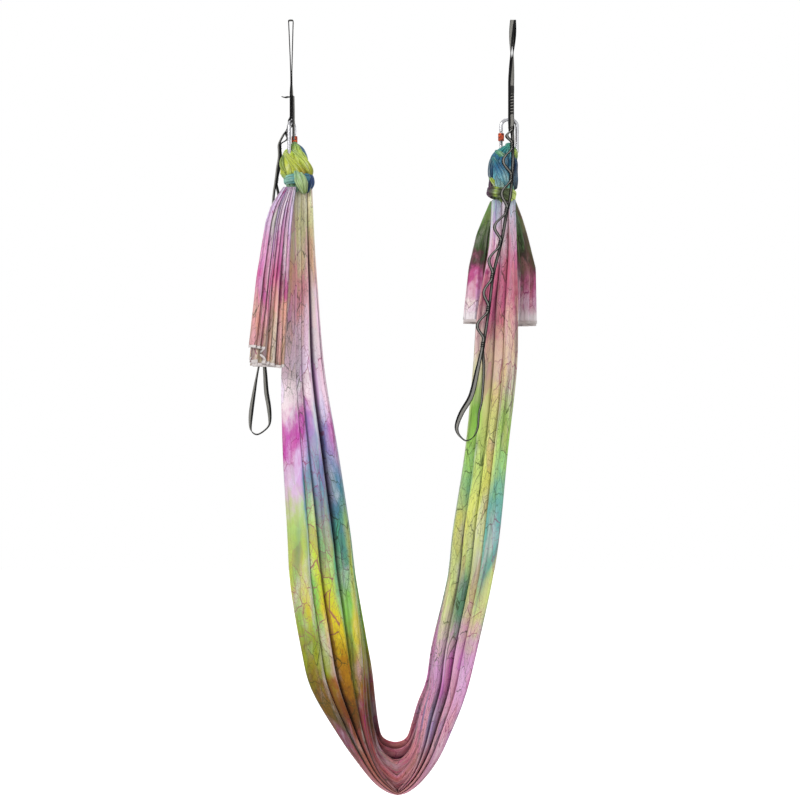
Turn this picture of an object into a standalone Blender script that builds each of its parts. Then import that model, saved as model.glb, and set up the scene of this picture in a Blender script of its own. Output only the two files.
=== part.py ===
"""Aerial hammock: a gathered cloth sling, knotted on two screw-gate carabiners that
hang in the first pockets of two sewn webbing straps.

Metres, +Z up. The origin is half way between the crowns of the two anchor loops.
The front of the hammock looks towards -Y.
"""
import math

import bmesh
import bpy
from mathutils import Matrix, Vector

# Overall sizes
ANCHOR_SPAN = 0.600          # between the crowns of the anchor loops
HANG_DROP = 2.085            # from the crowns down to the lowest fold of the sling
FIT_GAP = 0.0003             # between pieces that touch
OVERRUN = 0.004              # how far a cutter passes its piece

# Webbing
WEB_WIDTH = 0.016
WEB_THICK = 0.0022
WEB_EDGE = 0.0012            # how far the rounded edge reaches in
PLY_GAP = 0.0008             # between two plies sewn face to face
LOOP_DROP = 0.172            # crown to the lower end of an anchor loop
LOOP_HALF_GAPE = 0.0064      # crown corner to the loop's middle
LOOP_CROWN_RADIUS = 0.0034
LOOP_CLOSE_DROP = 0.140      # where the two strands meet again
LOOP_STEP = 0.0125           # spacing of the sections along an anchor loop
LOOP_CLOSE_CURVE = 0.9       # 1 closes the strands evenly, less closes them sooner
KNUCKLE_GAP = 0.0009         # running gap between a loop and its sewn section
SEWN_TO_BAR = 0.0130         # from the sewn section's end down to the carabiner's bar
SEWN_TURN_LENGTH = 0.024     # stretch in which a sewn section turns to its carabiner
SEWN_STEP = 0.012            # spacing of the sections along a sewn section
BAR_ZONE_STEP = 0.0025       # spacing of the sections round the carabiner's bar
PLY_STEP = 0.004             # spacing of the sections of the plies below that
CHAIN_STEP = 0.020           # spacing of the sections along the loose band
ROUND_STEPS = 4              # sections in a rounded end
ROUND_END_WIDTH = 0.12       # width left at the tip of a rounded end
THIN_END_THICK = 0.35        # thickness left at the tip of a tapered end
ROUTE_STEPS = 6              # points between two rows of a strap's route
LOOP_ROUTE_STEPS = 3         # points between two rows of an end loop's route
TACK_LENGTH = 0.016
TAIL_HINGE_DROP = 0.351      # where the loose chain of pockets starts to swing
POCKET_PITCH = 0.0878
POCKET_COUNT = 6
POCKET_BULGE = 0.026
JOIN_LENGTH = 0.032          # last bartack, where the end loop is sewn in
RIDE_BELOW_BAR = 0.0085      # the webbing stays wide and unturned this far, past the rod's bend
TURN_BELOW_BAR = 0.030       # stretch below that in which the webbing turns edge-on
EYE_DROP = 0.0205            # carabiner's bar down to the tack that closes the eye round it
EYE_BAR_COUNT = 2
FIRST_POCKET_BULGE = 0.014
POCKET_CURVE = 1.5           # how sharply a pocket leaves its bartack: 1 at once, 2 softly
POCKET_RING_SHARES = (0.1, 0.22, 0.36, 0.5, 0.64, 0.78, 0.9, 1.0)

# Stitch bars
BAR_LENGTH = 0.0115
BAR_BASE = 0.0004
BAR_HEIGHT = 0.0006
BAR_STEP = 0.0052            # one bar and the space after it
SEWN_BAR_STEP = 0.0080       # wider spacing, on the sewn section
SEWN_BAR_COUNT = 7
TACK_BAR_COUNT = 3
TAB_LENGTH = 0.023
LOOSE_END_LENGTH = 0.120
LOOSE_END_STEP = 0.012
LOOSE_END_CLEAR = 0.0014     # between the loose end and the ply that goes round the carabiner's bar
LOOSE_END_FORWARD = 0.012    # in front of the gate's way
LOOSE_END_SPREAD_SHARE = 0.45

# Carabiner, in its own plane: x from gate to spine, z up
ROD_RADIUS = 0.005
HALF_REACH = 0.0215          # middle of the carabiner to the line of its gate
HALF_LENGTH = 0.050          # middle of the carabiner to the line of its bars
CORNER_RADIUS = 0.0185
GATE_RADIUS = 0.0047
PIVOT_BELOW = 0.0240          # gate pin below the middle
NOSE_ABOVE = 0.0165          # end of the nose above the middle
NOSE_GAP = 0.0005
TONGUE_THICK = 0.004
TONGUE_RADIUS = 0.004
HINGE_ROOM = 0.0066          # gate pin to the shoulder of the rod
PIN_RADIUS = 0.0015
GATE_BORE = 0.0023
SPRING_LENGTH = 0.010
PLUNGER_LENGTH = 0.005
SLEEVE_RADIUS = 0.0081
SLEEVE_LENGTH = 0.021
SLEEVE_ABOVE = 0.0025        # middle of the sleeve above the middle of the carabiner
SLEEVE_CHAMFER = 0.0012
GATE_OPENING = math.radians(20.0)

# Cloth
SLING_HALF_DEPTH = 0.060
SLING_SIDES = 32
SLING_STEPS = 34
SLING_FINE_STEPS = 12        # points between two rows of the sling's tables
FOLD_SHARE = 0.14            # depth of a fold as a share of the local half size
FOLD_STEPS = ((0.0, 1.0 - FOLD_SHARE), (0.32, 0.97), (0.70, 1.0), (0.93, 0.99))
KNOT_HALF_WIDTH = 0.0435
KNOT_HALF_DEPTH = 0.037
COLLAR_RADIUS = 0.0325
COLLAR_THICK = 0.0105
COLLAR_TILT = math.radians(11.0)
COLLAR_SIDES = 24
COLLAR_ABOVE_END = 1.75      # collar's middle above the knot's end, in collar thicknesses
KNOT_SIDES = 20
KNOT_TWIST = 2.0             # turn of the knot's folds from top to bottom, in radians
TAIL_HALF_DEPTH = 0.024
TAIL_SIDES = 24
TAIL_RING_SHARES = (0.0, 0.06, 0.13, 0.22, 0.36, 0.5, 0.66, 0.83, 1.0)

# One entry for each side. Angles turn the webbing's pocket side about Z:
# 0 puts it in front of its strap, 90 to the left of it.
SIDES = {
    "right": {
        "sign": 1.0,
        "lean": 0.0055,
        "crown_turn": 0.0,
        "loop_turn": math.radians(180.0),
        "bar_turn": 0.0,
        "tail_turn": math.radians(65.0),
        "carabiner_turn": 0.0,
        "carabiner_shift": -0.0055,
        "carabiner_drop": 0.3190,
        "hinge_side": 0.0012,
        "hinge_depth": -0.0370,
        "join_side": -0.0815,
        "join_depth": -0.0520,
        "loop_width": 0.0700,
        "loop_drop": 0.2410,
        "knot_side": -0.0270,
        "knot_depth": 0.0,
        "knot_top": 0.3330,
        "knot_bottom": 0.4860,
        "tail_bottom": 0.8250,
        "tab_drop": 0.0120,
        "tab_facing": -1.0,
        # out and up, as shares of the tab's length
        "tab_shares": ((0.0, 0.0), (0.12, 0.03), (0.19, -0.08), (0.2, -0.35), (0.17, -0.62)),
        # share of the way from bar to hinge: down, across, towards the hinge's depth
        "lead_shares": ((0.11, 0.1, 0.04), (0.27, 0.3, 0.25), (0.52, 0.68, 0.67), (0.79, 1.0, 1.0)),
        # share of the way from hinge to join: down, across, share of the join's depth
        "route_shares": ((0.035, 0.0, 0.712), (0.08, 0.01, 0.90), (0.23, 0.09, 1.13), (0.335, 0.23, 1.06), (0.46, 0.38, 0.97),
                         (0.61, 0.63, 0.97), (0.70, 0.72, 1.0), (0.80, 0.80, 1.0), (1.0, 1.0, 1.0)),
        "bulge_shares": (1.0, 0.92, 1.0, 0.77, 0.7, 0.95),
        # across and down, as shares of the end loop's width and drop, then the turn in degrees
        "loop_shares": ((0.06, 0.22, 78), (-0.01, 0.54, 90), (-0.12, 0.70, 90), (-0.17, 0.86, 90),
                        (-0.34, 0.96, 90), (-0.60, 1.0, 90), (-0.80, 0.965, 90), (-0.95, 0.90, 84),
                        (-0.96, 0.82, 70), (-0.78, 0.685, 48), (-0.42, 0.50, 38), (-0.19, 0.224, 52)),
    },
    "left": {
        "sign": -1.0,
        "lean": 0.0015,
        "crown_turn": math.radians(-90.0),
        "loop_turn": math.radians(-90.0),
        "bar_turn": math.radians(-73.9),
        "tail_turn": math.radians(-115.0),
        "carabiner_turn": math.radians(-106.1),
        "carabiner_shift": -0.0035,
        "carabiner_drop": 0.3235,
        "hinge_side": -0.0320,
        "hinge_depth": 0.0020,
        "join_side": -0.0475,
        "join_depth": 0.0180,
        "loop_width": 0.0527,
        "loop_drop": 0.2255,
        "knot_side": 0.0185,
        "knot_depth": -0.0080,
        "knot_top": 0.3310,
        "knot_bottom": 0.4550,
        "tail_bottom": 0.9420,
        "tab_drop": 0.0360,          # below the top of the sewn section
        "loose_end_drop": 0.0330,
        "tab_facing": 1.0,           # 1 where it stands out of the main ply, -1 out of the pocket ply
        "tab_shares": ((0.0, 0.0), (0.3, 0.03), (0.65, -0.02), (1.0, 0.07)),
        "lead_shares": ((0.11, 0.04, 0.8), (0.27, 0.31, 1.6), (0.50, 0.67, 1.6), (0.79, 1.0, 1.0)),
        "route_shares": ((0.035, 0.0, 0.111), (0.085, 0.10, 0.45), (0.125, 0.17, 0.85), (0.17, 0.25, 1.1), (0.25, 0.36, 1.15),
                         (0.50, 0.54, 1.0), (0.75, 0.77, 1.0), (1.0, 1.0, 1.0)),
        "bulge_shares": (0.12, 0.42, 0.6, 0.75, 0.8, 0.9),
        "loop_shares": ((-0.24, 0.24, -100), (-0.42, 0.48, -108), (-0.58, 0.73, -112), (-0.62, 0.90, -100),
                        (-0.53, 0.97, -90), (-0.29, 1.0, -90), (0.0, 0.97, -90), (0.31, 0.90, -95),
                        (0.38, 0.82, -105), (0.33, 0.67, -115), (0.20, 0.48, -118), (0.13, 0.24, -115)),
    },
}

# Outer and inner edge of the sling, as shares of half the span (across) and of the drop
SLING_EDGE_SHARES = (
    ((-1.01, 0.219), (-0.81, 0.219)), ((-1.02, 0.285), (-0.79, 0.285)),
    ((-1.03, 0.350), (-0.76, 0.350)), ((-1.08, 0.453), (-0.70, 0.453)),
    ((-1.07, 0.557), (-0.58, 0.557)), ((-1.03, 0.660), (-0.47, 0.660)),
    ((-1.00, 0.732), (-0.42, 0.719)), ((-0.90, 0.816), (-0.32, 0.803)),
    ((-0.81, 0.865), (-0.27, 0.844)), ((-0.58, 0.921), (-0.24, 0.884)),
    ((-0.40, 0.958), (-0.21, 0.916)), ((-0.22, 0.988), (-0.17, 0.932)),
    ((-0.04, 1.000), (-0.06, 0.938)), ((0.13, 0.989), (0.04, 0.932)),
    ((0.31, 0.958), (0.09, 0.912)), ((0.45, 0.916), (0.14, 0.887)),
    ((0.57, 0.872), (0.22, 0.856)), ((0.67, 0.816), (0.27, 0.809)),
    ((0.81, 0.725), (0.41, 0.723)), ((0.88, 0.660), (0.46, 0.660)),
    ((0.95, 0.557), (0.57, 0.557)), ((1.03, 0.453), (0.64, 0.453)),
    ((1.04, 0.376), (0.68, 0.376)), ((1.03, 0.298), (0.78, 0.298)),
    ((1.02, 0.2335), (0.81, 0.2335)),
)
# Half depth of the sling along its length, as a share of the depth at the seat
SLING_DEPTH_SHARES = (0.34, 0.42, 0.5, 0.55, 0.58, 0.6, 0.62, 0.7, 0.8, 0.92, 0.98, 1.0, 1.0, 1.0,
                      0.98, 0.92, 0.8, 0.7, 0.62, 0.6, 0.58, 0.55, 0.5, 0.42, 0.34)

# Tails: share of the way down, left and right edge as shares of half the span,
# middle depth and half depth as shares of the tail's half depth
TAIL_SHARES = {
    "left": ((0.0, -1.09, -0.93, -1.30, 0.48), (0.05, -1.15, -0.95, -1.75, 0.62),
             (0.22, -1.21, -0.98, -2.5, 0.9), (0.56, -1.29, -1.01, -2.65, 1.0), (1.0, -1.36, -1.04, -2.7, 1.05)),
    "right": ((0.0, 0.80, 1.03, 1.42, 0.48), (0.13, 0.74, 1.09, 1.95, 0.6),
              (0.27, 0.68, 1.14, 2.35, 0.75), (0.55, 0.61, 1.22, 2.7, 0.9), (1.0, 0.56, 1.23, 2.9, 1.0)),
}
# Knot: share of the way down, side shift and half width and half depth as shares
KNOT_SHARES = (
    (0.00, 0.10, 0.22, 0.22), (0.05, 0.08, 0.42, 0.42), (0.13, 0.04, 0.60, 0.62), (0.25, 0.0, 0.78, 0.84),
    (0.38, 0.0, 0.93, 0.98), (0.50, 0.0, 1.0, 1.0), (0.60, 0.0, 0.98, 0.95), (0.68, 0.0, 0.88, 0.86),
    (0.76, 0.0, 0.74, 0.76), (0.88, 0.0, 0.70, 0.72), (1.00, 0.0, 0.66, 0.68),
)


def clear_scene():
    for obj in list(bpy.data.objects):
        bpy.data.objects.remove(obj, do_unlink=True)


def make_collection(name):
    collection = bpy.data.collections.new(name)
    bpy.context.scene.collection.children.link(collection)
    return collection


def make_material(name, colour, roughness, metallic=0.0):
    material = bpy.data.materials.new(name)
    material.use_nodes = True
    shader = material.node_tree.nodes["Principled BSDF"]
    shader.inputs["Base Color"].default_value = (*colour, 1.0)
    shader.inputs["Roughness"].default_value = roughness
    shader.inputs["Metallic"].default_value = metallic
    material.diffuse_color = (*colour, 1.0)
    return material


def lerp(a, b, t):
    return a + (b - a) * t


def ease(t):
    t = min(max(t, 0.0), 1.0)
    return t * t * (3.0 - 2.0 * t)


def table_at(rows, t):
    """Read a table whose first column rises, along a straight line between its rows."""
    for low, high in zip(rows, rows[1:]):
        if t <= high[0]:
            share = (t - low[0]) / (high[0] - low[0])
            return [lerp(a, b, share) for a, b in zip(low, high)]
    return list(rows[-1])


def smooth_route(points, steps):
    """Points on a smooth curve through the given ones, with so many steps in each span."""
    route = []
    padded = [2 * points[0] - points[1], *points, 2 * points[-1] - points[-2]]
    for i in range(1, len(padded) - 2):
        p0, p1, p2, p3 = padded[i - 1:i + 3]
        for j in range(steps):
            t = j / steps
            route.append(0.5 * (2 * p1 + (p2 - p0) * t + (2 * p0 - 5 * p1 + 4 * p2 - p3) * t ** 2
                                + (3 * p1 - p0 - 3 * p2 + p3) * t ** 3))
    route.append(points[-1])
    return route


def at_height(route, z):
    """The point of a falling route at height z."""
    for high, low in zip(route, route[1:]):
        if z >= low.z:
            return high.lerp(low, (high.z - z) / (high.z - low.z))
    return route[-1].copy()


def add_mesh(name, bm, material, collection, smooth=True):
    if bm.calc_volume(signed=True) < 0:
        bmesh.ops.reverse_faces(bm, faces=bm.faces)
    mesh = bpy.data.meshes.new(name)
    bm.to_mesh(mesh)
    bm.free()
    obj = bpy.data.objects.new(name, mesh)
    collection.objects.link(obj)
    if material:
        mesh.materials.append(material)
    if smooth:
        mesh.shade_smooth()
        mesh.set_sharp_from_angle(angle=math.radians(40.0))
    return obj


def loft(name, rings, material, collection):
    """One closed solid through rings that have the same number of points."""
    bm = bmesh.new()
    rows = [[bm.verts.new(p) for p in ring] for ring in rings]
    for a, b in zip(rows, rows[1:]):
        for i in range(len(a)):
            j = (i + 1) % len(a)
            bm.faces.new((a[i], a[j], b[j], b[i]))
    bm.faces.new(rows[0][::-1])
    bm.faces.new(rows[-1])
    return add_mesh(name, bm, material, collection)


def web_profile(plies):
    half_w, half_t = WEB_WIDTH / 2, plies * WEB_THICK / 2 + (plies - 1) * PLY_GAP / 2
    return ((half_w, 0), (half_w - WEB_EDGE, half_t), (WEB_EDGE - half_w, half_t),
            (-half_w, 0), (WEB_EDGE - half_w, -half_t), (half_w - WEB_EDGE, -half_t))


def band(name, points, acrosses, material, collection, plies=1, end_widths=None, end_thins=None):
    """A length of webbing along points; each across vector is the direction of its width."""
    rings = []
    for i, point in enumerate(points):
        along = (points[min(i + 1, len(points) - 1)] - points[max(i - 1, 0)]).normalized()
        across = (acrosses[i] - along * acrosses[i].dot(along)).normalized()
        out = along.cross(across)
        wide = end_widths[i] if end_widths else 1.0
        thin = end_thins[i] if end_thins else 1.0
        ring = [point + across * (a * wide) + out * (b * thin) for a, b in web_profile(plies)]
        if i in (0, len(points) - 1) and abs(along.z) > abs(along.x) + abs(along.y):
            # a cut end is level, so that it meets the next piece face to face
            ring = [p + along * ((point.z - p.z) / along.z) for p in ring]
        rings.append(ring)
    return loft(name, rings, material, collection)


def cylinder(name, radius, depth, centre, axis, material, collection, sides=16, chamfer=0.0):
    bm = bmesh.new()
    bmesh.ops.create_cone(bm, cap_ends=True, segments=sides, radius1=radius, radius2=radius, depth=depth)
    if chamfer:
        rims = [e for e in bm.edges if len(e.link_faces) == 2 and abs(e.verts[0].co.z - e.verts[1].co.z) < chamfer]
        bmesh.ops.bevel(bm, geom=rims, offset=chamfer, segments=1, affect="EDGES", clamp_overlap=True)
    turn = Vector((0, 0, 1)).rotation_difference(Vector(axis)).to_matrix().to_4x4()
    bmesh.ops.transform(bm, matrix=Matrix.Translation(Vector(centre)) @ turn, verts=bm.verts)
    return add_mesh(name, bm, material, collection)


def box(name, low, high, material, collection):
    bm = bmesh.new()
    bmesh.ops.create_cube(bm, size=1.0)
    size = Vector(high) - Vector(low)
    middle = (Vector(high) + Vector(low)) / 2
    bmesh.ops.transform(bm, matrix=Matrix.Translation(middle) @ Matrix.Diagonal((*size, 1.0)), verts=bm.verts)
    return add_mesh(name, bm, material, collection, smooth=False)


def tube(name, points, radius, material, collection, resolution=2):
    """A solid rod along points, as a mesh with welded caps."""
    curve = bpy.data.curves.new(name + "_line", "CURVE")
    curve.dimensions = "3D"
    curve.bevel_depth = radius
    curve.bevel_resolution = resolution
    curve.use_fill_caps = True
    spline = curve.splines.new("POLY")
    spline.points.add(len(points) - 1)
    for knot, point in zip(spline.points, points):
        knot.co = (*point, 1.0)
    line = bpy.data.objects.new(name + "_line", curve)
    collection.objects.link(line)
    bpy.context.view_layer.update()
    mesh = bpy.data.meshes.new_from_object(line.evaluated_get(bpy.context.evaluated_depsgraph_get()))
    bpy.data.objects.remove(line, do_unlink=True)
    bm = bmesh.new()
    bm.from_mesh(mesh)
    bmesh.ops.remove_doubles(bm, verts=bm.verts, dist=FIT_GAP / 30)
    bpy.data.meshes.remove(mesh)
    return add_mesh(name, bm, material, collection)


def hide_cutter(cutter, cutters):
    for collection in list(cutter.users_collection):
        collection.objects.unlink(cutter)
    cutters.objects.link(cutter)
    cutter.hide_render = True
    cutter.display_type = "WIRE"


def shape_with(obj, other, operation, cutters):
    modifier = obj.modifiers.new(other.name, "BOOLEAN")
    modifier.object = other
    modifier.operation = operation
    hide_cutter(other, cutters)


def add_pivot(name, location, parts, turn=0.0):
    """An empty on the axis of a joint, which carries what the joint moves."""
    pivot = bpy.data.objects.new(name, None)
    pivot.location = location
    pivot.rotation_euler.z = turn
    pivot.empty_display_size = WEB_WIDTH
    parts.objects.link(pivot)
    return pivot


def hang_on(pivot, pieces):
    """Parent pieces to a pivot where they are."""
    bpy.context.view_layer.update()
    for piece in pieces:
        piece.parent = pivot
        piece.matrix_parent_inverse = pivot.matrix_world.inverted()
    bpy.context.view_layer.update()


def bake(obj):
    """Fix the modifiers of a piece into its mesh, so that it can shape another one."""
    bpy.context.view_layer.update()
    mesh = bpy.data.meshes.new_from_object(obj.evaluated_get(bpy.context.evaluated_depsgraph_get()))
    obj.modifiers.clear()
    obj.data = mesh


class Strap:
    """The line that one strap's two plies follow, and how they turn on the way."""

    def __init__(self, side):
        self.side = SIDES[side]
        s = self.side
        crown_x = s["sign"] * ANCHOR_SPAN / 2
        bar_x = crown_x - s["sign"] * s["lean"]
        self.crown = Vector((crown_x, 0, 0))
        self.bar = Vector((bar_x, 0, HALF_LENGTH - s["carabiner_drop"]))
        hinge_x = bar_x + s["hinge_side"]
        self.hinge = Vector((hinge_x, s["hinge_depth"], -TAIL_HINGE_DROP))
        self.join = Vector((hinge_x + s["join_side"], s["join_depth"], self.tack_z(POCKET_COUNT) + TACK_LENGTH / 2
                            - JOIN_LENGTH))
        points = [Vector((bar_x, 0, -LOOP_DROP)), self.bar + Vector((0, 0, SEWN_TO_BAR)), self.bar]
        for down, across, deep in s["lead_shares"]:
            points.append(Vector((lerp(self.bar.x, self.hinge.x, across), deep * self.hinge.y,
                                  lerp(self.bar.z, self.hinge.z, down))))
        points.append(self.hinge)
        for down, across, deep in s["route_shares"]:
            points.append(Vector((lerp(self.hinge.x, self.join.x, across), deep * self.join.y,
                                  lerp(self.hinge.z, self.join.z, down))))
        self.route = smooth_route(points, ROUTE_STEPS)

    def tack_z(self, number):
        """Height of the middle of a bartack; number 0 is the one above the hinge."""
        return TACK_LENGTH / 2 - TAIL_HINGE_DROP - number * POCKET_PITCH

    def turn(self, z):
        s = self.side
        sewn_top = -LOOP_DROP
        if z > sewn_top:
            return lerp(s["crown_turn"], s["loop_turn"], z / sewn_top)
        loop_end = s["loop_turn"] % math.pi - (math.pi if s["loop_turn"] < 0 else 0)
        if z > sewn_top - SEWN_TURN_LENGTH:
            return lerp(loop_end, s["bar_turn"], (sewn_top - z) / SEWN_TURN_LENGTH)
        return lerp(s["bar_turn"], s["tail_turn"], ease((self.bar.z - RIDE_BELOW_BAR - z) / TURN_BELOW_BAR))

    def across(self, z):
        return Vector((math.cos(self.turn(z)), -math.sin(self.turn(z)), 0))

    def back(self, z):
        """Unit vector from the pocket ply to the main ply."""
        return Vector((math.sin(self.turn(z)), math.cos(self.turn(z)), 0))

    def closed(self, z):
        """Half the level distance between two plies that lie together: more where the strap slopes or twists."""
        slope = (at_height(self.route, z + WEB_THICK) - at_height(self.route, z - WEB_THICK)).dot(self.back(z))
        twist = (self.turn(z + WEB_THICK) - self.turn(z - WEB_THICK)) * WEB_WIDTH / 2
        return (WEB_THICK + PLY_GAP) / 2 * math.hypot(1.0, (abs(slope) + abs(twist)) / (2 * WEB_THICK))

    def eye_top(self):
        return self.bar.z - EYE_DROP

    def eye_end(self):
        return self.eye_top() - EYE_BAR_COUNT * BAR_STEP

    def bar_offset(self, z):
        """How far a ply stands off the strap's middle: round the bar, and straight up to where it is sewn."""
        closed, reach = (WEB_THICK + PLY_GAP) / 2, ROD_RADIUS + WEB_THICK / 2 + FIT_GAP * 2
        high = z - self.bar.z
        if high < 0:
            return lerp(reach, self.closed(z), ease((-high - RIDE_BELOW_BAR) / (EYE_DROP - RIDE_BELOW_BAR)))
        top = SEWN_TO_BAR - WEB_THICK
        leave = math.acos(reach / math.hypot(closed, top)) + math.atan2(closed, top)
        leave_high = reach * math.cos(leave)
        if high < leave_high:
            return math.sqrt(reach ** 2 - high ** 2)
        return lerp(reach * math.sin(leave), closed, min(1.0, (high - leave_high) / (top - leave_high)))

    def main_ply(self, z):
        return at_height(self.route, z) + self.back(z) * self.bar_offset(z)

    def pocket_gape(self, z):
        """Distance from the strap's middle to the pocket ply."""
        closed = self.closed(z)
        top = self.tack_z(0) + TACK_LENGTH / 2
        if z >= self.eye_end():
            return self.bar_offset(z)
        if z >= top:
            share = (self.eye_end() - z) / (self.eye_end() - top)
            return closed + FIRST_POCKET_BULGE * math.sin(math.pi * share) ** POCKET_CURVE
        number = int((self.tack_z(0) - z) / POCKET_PITCH)
        if number >= POCKET_COUNT:
            return closed
        start = self.tack_z(number) - TACK_LENGTH / 2
        share = (start - z) / (POCKET_PITCH - TACK_LENGTH)
        if not 0.0 < share < 1.0:
            return closed
        return closed + POCKET_BULGE * self.side["bulge_shares"][number] * math.sin(math.pi * share) ** POCKET_CURVE

    def pocket_ply(self, z):
        return at_height(self.route, z) - self.back(z) * self.pocket_gape(z)


def heights(top, bottom, step):
    count = max(1, round((top - bottom) / step))
    return [lerp(top, bottom, i / count) for i in range(count + 1)]


def rounded(left):
    """Width of a round end, as a share of the full width, where so much of the end is left."""
    return max(ROUND_END_WIDTH, math.sqrt(max(0.0, 1 - (1 - left) ** 2)))


def add_anchor_loop(side, strap, material, parts):
    """Both strands of the anchor loop and its flat crown, with rounded lower ends."""
    top = -WEB_THICK / 2
    closed = (WEB_THICK + PLY_GAP) / 2
    end = -LOOP_DROP + KNUCKLE_GAP / 2
    in_plane = abs(math.sin(strap.side["loop_turn"])) > 0.5
    tip = WEB_WIDTH / 2 if in_plane else WEB_THICK
    zs = heights(top - LOOP_CROWN_RADIUS, end + tip, LOOP_STEP)
    zs += [lerp(end + tip, end, ease(i / ROUND_STEPS)) for i in range(1, ROUND_STEPS + 1)]
    strand, across, wide, thin = [], [], [], []
    for z in zs:
        share = min(1.0, (z - top) / (-LOOP_CLOSE_DROP - top))
        gape = lerp(LOOP_HALF_GAPE, closed, share ** LOOP_CLOSE_CURVE)
        strand.append((z, gape))
        left = min(1.0, (z - end) / tip)
        wide.append(rounded(left) if in_plane else 1.0)
        thin.append(1.0 if in_plane else max(THIN_END_THICK, left))
    points = []
    for sign in (1, -1):
        side_points = []
        for z, gape in strand:
            middle = strap.crown.lerp(Vector((strap.bar.x, 0, -LOOP_DROP)), -z / LOOP_DROP)
            side_points.append(Vector((middle.x, 0, z)) + strap.back(z) * gape * sign)
        points.append(side_points)
        across.append([strap.across(z) for z, _ in strand])
    crown_across, crown_back = strap.across(0), strap.back(0)
    arc = []
    flat = LOOP_HALF_GAPE - LOOP_CROWN_RADIUS
    for sign, turns in ((1, (1, 2)), (-1, (2, 1))):
        corner = [flat + LOOP_CROWN_RADIUS * math.cos(math.pi / 2 * i / 3) for i in turns]
        rise = [LOOP_CROWN_RADIUS * (math.sin(math.pi / 2 * i / 3) - 1) for i in turns]
        bend = [strap.crown + crown_back * sign * c + Vector((0, 0, top + r)) for c, r in zip(corner, rise)]
        flat_end = strap.crown + crown_back * sign * flat + Vector((0, 0, top))
        arc += bend + [flat_end] if sign > 0 else [flat_end] + bend
    points = points[0][::-1] + arc + points[1]
    acrosses = across[0][::-1] + [crown_across] * len(arc) + across[1]
    wides = wide[::-1] + [1.0] * len(arc) + wide
    thins = thin[::-1] + [1.0] * len(arc) + thin
    band(f"{side}_anchor_loop", points, acrosses, material, parts, 1, wides, thins)


def add_sewn_section(side, strap, material, parts):
    top = -LOOP_DROP - KNUCKLE_GAP / 2
    end = strap.bar.z + SEWN_TO_BAR + FIT_GAP
    in_plane = abs(math.sin(strap.side["loop_turn"])) > 0.5
    tip = WEB_WIDTH / 2 if in_plane else WEB_THICK
    zs = [lerp(top, top - tip, 1 - ease(1 - i / ROUND_STEPS)) for i in range(ROUND_STEPS + 1)]
    zs += heights(top - tip, end, SEWN_STEP)[1:]
    lefts = [min(1.0, (top - z) / tip) for z in zs]
    wides = [rounded(left) if in_plane else 1.0 for left in lefts]
    thins = [1.0 if in_plane else max(THIN_END_THICK, left) for left in lefts]
    band(f"{side}_sewn_section", [at_height(strap.route, z) for z in zs], [strap.across(z) for z in zs],
         material, parts, 2, wides, thins)


def add_bars(name, strap, line, z, stand_off, count, material, parts, step=BAR_STEP):
    """A row of stitch bars on the pocket face: one bar is a tooth of a thin comb that follows the webbing."""
    length = count * step
    outline = [(-length / 2, 0)]
    outline += [(lerp(-length / 2, length / 2, (i + 1) / (2 * count)), 0) for i in range(2 * count)]
    for i in range(count):
        start = length / 2 - i * step - step / 4
        outline += [(start, BAR_BASE), (start, BAR_BASE + BAR_HEIGHT),
                    (start - step / 2, BAR_BASE + BAR_HEIGHT), (start - step / 2, BAR_BASE)]
    bm = bmesh.new()
    rows = [[], []]
    for down, high in outline:
        here = z + down
        along = (line(here + step / 2) - line(here - step / 2)).normalized()
        across = strap.across(here)
        across = (across - along * across.dot(along)).normalized()
        out = along.cross(across) if along.cross(across).dot(strap.back(here)) < 0 else across.cross(along)
        for row, c in zip(rows, (-BAR_LENGTH / 2, BAR_LENGTH / 2)):
            row.append(bm.verts.new(line(here) + out * (stand_off + high) + across * c))
    for i in range(len(outline)):
        j = (i + 1) % len(outline)
        bm.faces.new((rows[0][i], rows[0][j], rows[1][j], rows[1][i]))
    bm.faces.new(rows[0][::-1])
    bm.faces.new(rows[1])
    add_mesh(name, bm, material, parts, smooth=False)


def add_end_tab(side, strap, material, parts):
    """The cut end of the webbing that stands out of the sewn section."""
    z = -LOOP_DROP - strap.side["tab_drop"]
    root, out = at_height(strap.route, z), strap.back(z) * strap.side["tab_facing"]
    start = WEB_THICK + PLY_GAP / 2 + FIT_GAP
    points = [root + out * (start + TAB_LENGTH * away) + Vector((0, 0, TAB_LENGTH * up))
              for away, up in strap.side["tab_shares"]]
    band(f"{side}_end_tab", points, [strap.across(z)] * len(points), material, parts)


def add_loose_end(side, strap, material, parts):
    """The long free end of the webbing, which hangs from the stitch bars past the carabiner's bar."""
    top = -LOOP_DROP - strap.side["loose_end_drop"]
    sewn = WEB_THICK + PLY_GAP / 2 + BAR_BASE + BAR_HEIGHT + FIT_GAP * 2 + WEB_THICK / 2
    past_bar = ROD_RADIUS + FIT_GAP * 2 + WEB_THICK * 1.5 + LOOSE_END_CLEAR
    out, forward = -strap.back(top), strap.across(top)
    if forward.y > 0:
        forward = -forward
    root = at_height(strap.route, top)
    points = []
    for z in heights(top, top - LOOSE_END_LENGTH, LOOSE_END_STEP):
        share = ease((top - z) / (LOOSE_END_LENGTH * LOOSE_END_SPREAD_SHARE))
        points.append(Vector((root.x, root.y, z)) + out * lerp(sewn, past_bar, share)
                      + forward * (LOOSE_END_FORWARD * share))
    band(f"{side}_loose_end", points, [strap.across(top)] * len(points), material, parts)


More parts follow.
